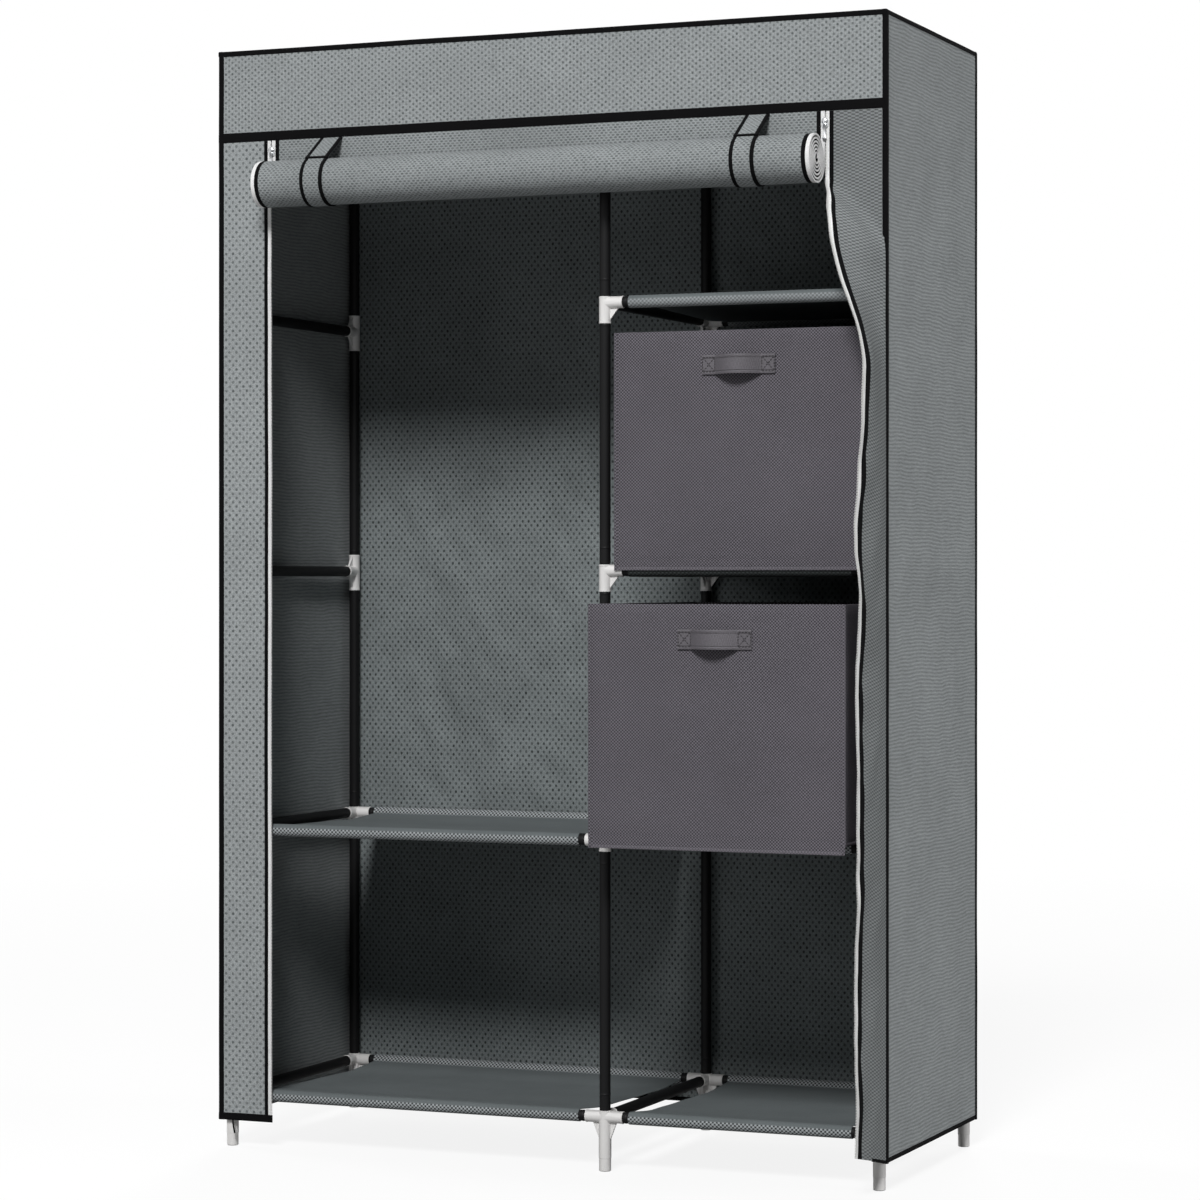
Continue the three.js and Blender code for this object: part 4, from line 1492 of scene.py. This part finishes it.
def face_uv(obj):
    """A UV map in metres, laid flat on whichever side each face looks to."""
    mesh = obj.data
    layer = mesh.uv_layers.get("cloth") or mesh.uv_layers.new(name="cloth")
    for polygon in mesh.polygons:
        across = max(range(3), key=lambda k: abs(polygon.normal[k]))
        u, v = {0: (1, 2), 1: (0, 2), 2: (0, 1)}[across]
        for index in polygon.loop_indices:
            place = mesh.vertices[mesh.loops[index].vertex_index].co
            layer.data[index].uv = (place[u], place[v])


def soft_box(name, lowest, highest):
    """An open cloth box with soft walls, from a cube without its lid."""
    size = highest - lowest
    bpy.ops.mesh.primitive_cube_add(size=1, location=(lowest + highest) / 2)
    obj = bpy.context.object
    obj.name = name
    obj.scale = size
    bpy.ops.object.transform_apply(location=True, rotation=True, scale=True)
    bpy.ops.object.mode_set(mode="EDIT")
    bpy.ops.mesh.select_all(action="DESELECT")
    bpy.ops.object.mode_set(mode="OBJECT")
    for polygon in obj.data.polygons:
        polygon.select = polygon.normal.z > 0.5
    bpy.ops.object.mode_set(mode="EDIT")
    bpy.ops.mesh.delete(type="FACE")
    bpy.ops.mesh.select_all(action="SELECT")
    bpy.ops.mesh.subdivide(number_cuts=BIN_CUTS)
    bpy.ops.object.mode_set(mode="OBJECT")
    for vertex in obj.data.vertices:
        share = Vector([(vertex.co[k] - lowest[k]) / size[k] for k in range(3)])
        for k in (0, 1):
            if 0.001 < share[k] < 0.999:
                continue
            swell = fade(share[1 - k]) * min(1.0, 4 * share.z + 0.1)
            soft = 0.0016 * noise.noise(vertex.co * 9) - 0.0012
            vertex.co[k] += math.copysign(1, share[k] - 0.5) * soft * swell
    modify(obj, "SOLIDIFY", thickness=BIN_WALL, offset=-1)
    modify(obj, "BEVEL", width=BIN_EDGE_ROUND, segments=2, limit_method="ANGLE",
           angle_limit=math.radians(50))
    face_uv(obj)
    return settle(obj, 40)


# Stitches of thread
STITCH = 0.0034
STITCH_GAP = 0.0006
STITCH_RADIUS = 0.0006
STITCH_SIDES = 6
STITCH_SHAPE = ((-0.5, 0.3), (-0.3, 1), (0.3, 1), (0.5, 0.3))


def stitches(name, runs, body):
    """Rows of thread stitches, each a small bead lying along its run."""
    vertices, faces = [], []
    count, sides = len(STITCH_SHAPE), range(STITCH_SIDES)
    for start, end, out in runs:
        start, end = Vector(start), Vector(end)
        along = (end - start).normalized()
        across = along.cross(out)
        stitch_count = max(1, int((end - start).length / (STITCH + STITCH_GAP)))
        for i in range(stitch_count):
            centre = start.lerp(end, (i + 0.5) / stitch_count)
            first = len(vertices)
            for a, width in STITCH_SHAPE:
                for k in sides:
                    turn = math.tau * k / STITCH_SIDES
                    vertices.append(
                        centre + along * (a * STITCH)
                        + across * (STITCH_RADIUS * 1.3 * width * math.cos(turn))
                        + out * (STITCH_RADIUS * width * math.sin(turn))
                    )
            faces.append(tuple(first + k for k in reversed(sides)))
            for ring in range(first, first + (count - 1) * STITCH_SIDES, STITCH_SIDES):
                for k in sides:
                    a, b = ring + k, ring + (k + 1) % STITCH_SIDES
                    faces.append((a, b, b + STITCH_SIDES, a + STITCH_SIDES))
            faces.append(tuple(first + (count - 1) * STITCH_SIDES + k for k in sides))
    obj = linked(name, vertices, faces)
    tidy_normals(obj)
    only(obj)
    bpy.ops.object.shade_smooth()
    dress(obj, thread, body)


def add_bin(name):
    body = f"{name}_bin"
    lowest, highest = low(f"bin_{name}"), high(f"bin_{name}")
    lowest += Vector((BIN_EASE, 0, BIN_SKIRT))
    highest -= Vector((BIN_EASE, 0, 0))
    box = soft_box(f"bin_cloth_{name}", lowest, highest)
    dress(box, bin_cloth, body, [f"bin_{name}"])
    add_bin_corners(name, lowest, highest, body)
    add_bin_edges(name, lowest, highest, body)
    add_bin_skirt(name, lowest, highest, body)
    add_bin_board(name, lowest, highest, body)
    add_handle(name, body)


def add_bin_corners(name, lowest, highest, body):
    """Folded seams down the corners, and over the skirt's ends at the front."""
    z0, z1 = lowest.z + 0.001, highest.z - 0.001
    for row, edge_y, second in (("front", lowest.y, Y_AXIS), ("back", highest.y, OUT)):
        for side, edge_x, first in (("left", lowest.x, X_AXIS), ("right", highest.x, -X_AXIS)):
            x, y = edge_x, edge_y
            section = corner_section(BIN_SEAM, BIN_SEAM_THICKNESS, first, second)
            seam = straight(f"bin_seam_{name}_{row}_{side}", section, (x, y, z0), (x, y, z1), 20, 0.0003)
            dress(seam, bin_cloth, body)
            if row == "back":
                continue
            section = tape_section(BIN_SEAM, BIN_SEAM_THICKNESS, first, second)
            x, y = x + first.x * BIN_SEAM / 2, y + SKIRT_SEAM_SINK
            foot = lowest.z - SKIRT_LENGTHS[name] + SKIRT_SHORT
            start, end = (x, y, foot), (x, y, lowest.z + SKIRT_SEAM_OVER)
            strip = straight(f"bin_skirt_seam_{name}_{row}_{side}", section, start, end, 2)
            dress(strip, bin_cloth, body)


def add_bin_edges(name, lowest, highest, body):
    """The rim's turned hem and the seam round the base."""
    rim = [(lowest.x, lowest.y), (highest.x, lowest.y), (highest.x, highest.y), (lowest.x, highest.y)]
    for i, (side, out) in enumerate(SIDE_FACES.items()):
        a, b = Vector((*rim[i], 0)), Vector((*rim[(i + 1) % 4], 0))
        a.z = b.z = highest.z - BIN_RIM_DROP
        run = (b - a).normalized() * BIN_RIM_SHORT
        hem = straight(
            f"bin_rim_{name}_{side}", tape_section(BIN_RIM, BIN_RIM_THICKNESS, Z_AXIS, out),
            a - out * BIN_RIM_INSET + run, b - out * BIN_RIM_INSET - run, 24, 0.0003,
        )
        dress(hem, bin_cloth, body)
        foot, wall = (SKIRT_LENGTHS[name], SKIRT_WALL) if side == "front" else (0.0, BIN_WALL)
        a.z = b.z = lowest.z - foot + BASE_SEAM_RISE
        base = straight(
            f"bin_base_seam_{name}_{side}", tape_section(BASE_SEAM, wall + BASE_SEAM_PROUD, Z_AXIS, out),
            a - out * wall / 2, b - out * wall / 2, 24, 0.0002,
        )
        dress(base, bin_edge, body)


def add_bin_skirt(name, lowest, highest, body):
    """The front's cloth below the floor, hanging in front of the shelf's rail."""
    drop = SKIRT_LENGTHS[name]

    def place(u, v):
        return (lowest.x + u, lowest.y + SKIRT_WALL / 2, lowest.z - drop + SKIRT_SHORT + v)

    width = highest.x - lowest.x
    height = drop + SKIRT_OVER
    skirt = cloth(f"bin_skirt_{name}", width, height, (0.012, 0.003), place, SKIRT_WALL)
    dress(skirt, bin_cloth, body)


def add_bin_board(name, lowest, highest, body):
    """The stiff board in its cloth pocket on the bin's floor."""
    inset = BIN_WALL + BOARD_INSET
    centre = (lowest + highest) / 2
    centre.z = lowest.z + BIN_WALL + BOARD_RISE
    bpy.ops.mesh.primitive_cube_add(size=1, location=centre)
    board = bpy.context.object
    board.name = f"bin_board_{name}"
    board.scale = (highest.x - lowest.x - 2 * inset, highest.y - lowest.y - 2 * inset, BOARD_THICKNESS)
    settle(board)
    modify(board, "BEVEL", width=BOARD_ROUND, segments=2)
    face_uv(board)
    dress(board, bin_cloth, body)


# Handles of the bins
HANDLE_SEWN = 0.020
HANDLE_THICKNESS = 0.0014
HANDLE_STEPS = 54
HANDLE_HEM_INSET = 0.0022
HANDLE_SEAM_INSET = 0.0024
HANDLE_BACK = 0.0008
HANDLE_PAIR = 0.0016
HANDLE_STITCH_OUT = 0.0009
HANDLE_STITCH_INSETS = (0.0012, 0.0006, 0.0034)
HANDLE_HEM_SHAPE = ((-1, 0.4), (-0.6, -0.6), (0.6, -0.6), (1, 0.4), (0, 0.9))


def add_handle(name, body):
    node_name = f"bin_handle_{name}"
    lowest, highest = low(node_name), high(node_name)
    width, height = highest.x - lowest.x, highest.z - lowest.z
    centre = (lowest + highest) / 2
    free = width / 2 - HANDLE_SEWN
    bow = highest.y - lowest.y - HANDLE_PAIR
    back = highest.y - HANDLE_BACK

    def place(u, v):
        x = u - width / 2
        lift = bow * math.cos(math.pi * x / (2 * free)) if abs(x) < free else 0.0
        return (centre.x + x, back - lift, centre.z + v - height / 2)

    def ridge(piece, v, proud, depth, half, finish):
        """A raised line along the handle: how far it stands proud, its depth and half its width."""
        rings = []
        for i in range(HANDLE_STEPS + 1):
            x, y, z = place(width * i / HANDLE_STEPS, v)
            rings.append([(x, y - proud + depth * b, z + half * a) for a, b in HANDLE_HEM_SHAPE])
        dress(skin(f"handle_{piece}_{name}", rings, 60), finish, body)

    strip = cloth(f"handle_webbing_{name}", width, height, (0.002, 0.0027), place, HANDLE_THICKNESS)
    dress(strip, webbing, body, [node_name])
    for edge, v, inwards in (("lower", HANDLE_HEM_INSET, 1), ("upper", height - HANDLE_HEM_INSET, -1)):
        ridge(f"hem_{edge}", v, 0.0006, 0.0006, 0.0020, webbing)
        ridge(f"seam_{edge}", v + inwards * HANDLE_SEAM_INSET, 0.0008, 0.0004, 0.0005, thread)
    runs = []
    y = back - HANDLE_STITCH_OUT
    end_inset, free_inset, edge_inset = HANDLE_STITCH_INSETS
    z0, z1 = centre.z - height / 2 + edge_inset, centre.z + height / 2 - edge_inset
    for sign in SIDES.values():
        x0, x1 = centre.x + sign * (width / 2 - end_inset), centre.x + sign * (free + free_inset)
        square = [(x0, y, z0), (x1, y, z0), (x1, y, z1), (x0, y, z1)]
        runs += [(square[k], square[(k + 1) % 4], OUT) for k in range(4)]
        runs += [(square[0], square[2], OUT), (square[1], square[3], OUT)]
    stitches(f"handle_stitches_{name}", runs, body)


# Zip sliders and pulls
SLIDER_PLATE = 0.002
SLIDER_ROUND = 0.0036
BRIDGE_HALF = 0.0009
BRIDGE_THICKNESS = 0.0011
BRIDGE_FOOT = 0.0042
BRIDGE_TOP = 0.0026
DOME_SINK = 0.0008
PULL_SHORT = 0.004
SLOT_DROP = 0.0032
SLOT_SIZE = (0.0022, 0.006, 0.0036)


def rounded_plate(name, centre, size, radius, edge=0.0004):
    """A flat plate in X and Z with round corners and softened edges."""
    bpy.ops.mesh.primitive_cube_add(size=1, location=centre)
    obj = bpy.context.object
    obj.name = name
    obj.scale = size
    settle(obj)
    places = [vertex.co.y for vertex in obj.data.vertices]
    weight = obj.data.attributes.new("bevel_weight_edge", "FLOAT", "EDGE")
    for line in obj.data.edges:
        a, b = line.vertices
        if abs(places[a] - places[b]) > size[1] / 2:
            weight.data[line.index].value = 1.0
    modify(obj, "BEVEL", width=radius, segments=6, limit_method="WEIGHT")
    modify(obj, "BEVEL", width=edge, segments=2, limit_method="ANGLE", angle_limit=math.radians(60))
    return obj


def add_slider(side):
    """A slider: its plate, the bridge that the pull hangs from, and a dome at the top."""
    node_name = f"zip_slider_{side}"
    lowest, highest = low(node_name), high(node_name)
    centre = (lowest + highest) / 2
    back = highest.y - SLIDER_PLATE / 2
    plate = rounded_plate(
        f"slider_body_{side}", (centre.x, back, centre.z),
        (highest.x - lowest.x, SLIDER_PLATE, highest.z - lowest.z), SLIDER_ROUND,
    )
    reach = back - lowest.y - 0.0008
    half_arch = [(back, BRIDGE_FOOT), (back - reach * 0.75, BRIDGE_FOOT), (back - reach, BRIDGE_TOP)]
    arch = half_arch + [(y, -z) for y, z in reversed(half_arch)]
    path = [Vector((y, centre.z + z)) for y, z in arch]
    spans = [(centre.x - BRIDGE_HALF, centre.x + BRIDGE_HALF)] * len(path)
    combine(plate, skin("bridge", ribbon_rings(path, spans, BRIDGE_THICKNESS), 50), "UNION")
    radius = (highest.x - lowest.x) / 2
    dome = turned("dome", [
        (0, 0), (radius * 0.92, 0), (radius * 0.86, 0.0012), (radius * 0.6, 0.0022), (0, 0.0027),
    ])
    top = (centre.x, back - DOME_SINK, highest.z - radius * 0.7)
    combine(plate, aimed(dome, top, OUT), "UNION")
    settle(plate)
    dress(plate, zip_metal, f"{side}_slider", [node_name])


def add_pull(side):
    """A pull: a flat bar with a knob at each end and a slot through the upper one."""
    node_name = f"zip_pull_{side}"
    lowest, highest = low(node_name), high(node_name)
    centre, size = (lowest + highest) / 2, highest - lowest
    flat = (size.x * 0.62, size.y * 0.8, size.z - PULL_SHORT)
    bar = rounded_plate(f"pull_tag_{side}", centre, flat, 0.0012, 0.0003)
    radius = size.x / 2
    for z in (highest.z - radius, lowest.z + radius):
        knob = turned("knob", [
            (0, -size.y / 2), (radius * 0.8, -size.y / 2), (radius, -size.y / 5),
            (radius, size.y / 5), (radius * 0.8, size.y / 2), (0, size.y / 2),
        ])
        combine(bar, aimed(knob, (centre.x, centre.y, z), Y_AXIS), "UNION")
    place = (centre.x, centre.y, highest.z - SLOT_DROP)
    slot = rounded_plate("slot", place, SLOT_SIZE, 0.0009, 0.0001)
    combine(bar, slot, "DIFFERENCE")
    settle(bar)
    dress(bar, zip_metal, f"{side}_pull", [node_name])


def add_zips():
    for side in SIDES:
        add_slider(side)
        add_pull(side)


add_camera()
add_surroundings()
add_frame()
add_hanging_rail()
add_cover()
add_left_strip()
add_right_flap()
add_door()
add_straps()
add_bindings()
add_shelves()
for bin_name in ("lower", "upper"):
    add_bin(bin_name)
add_zips()
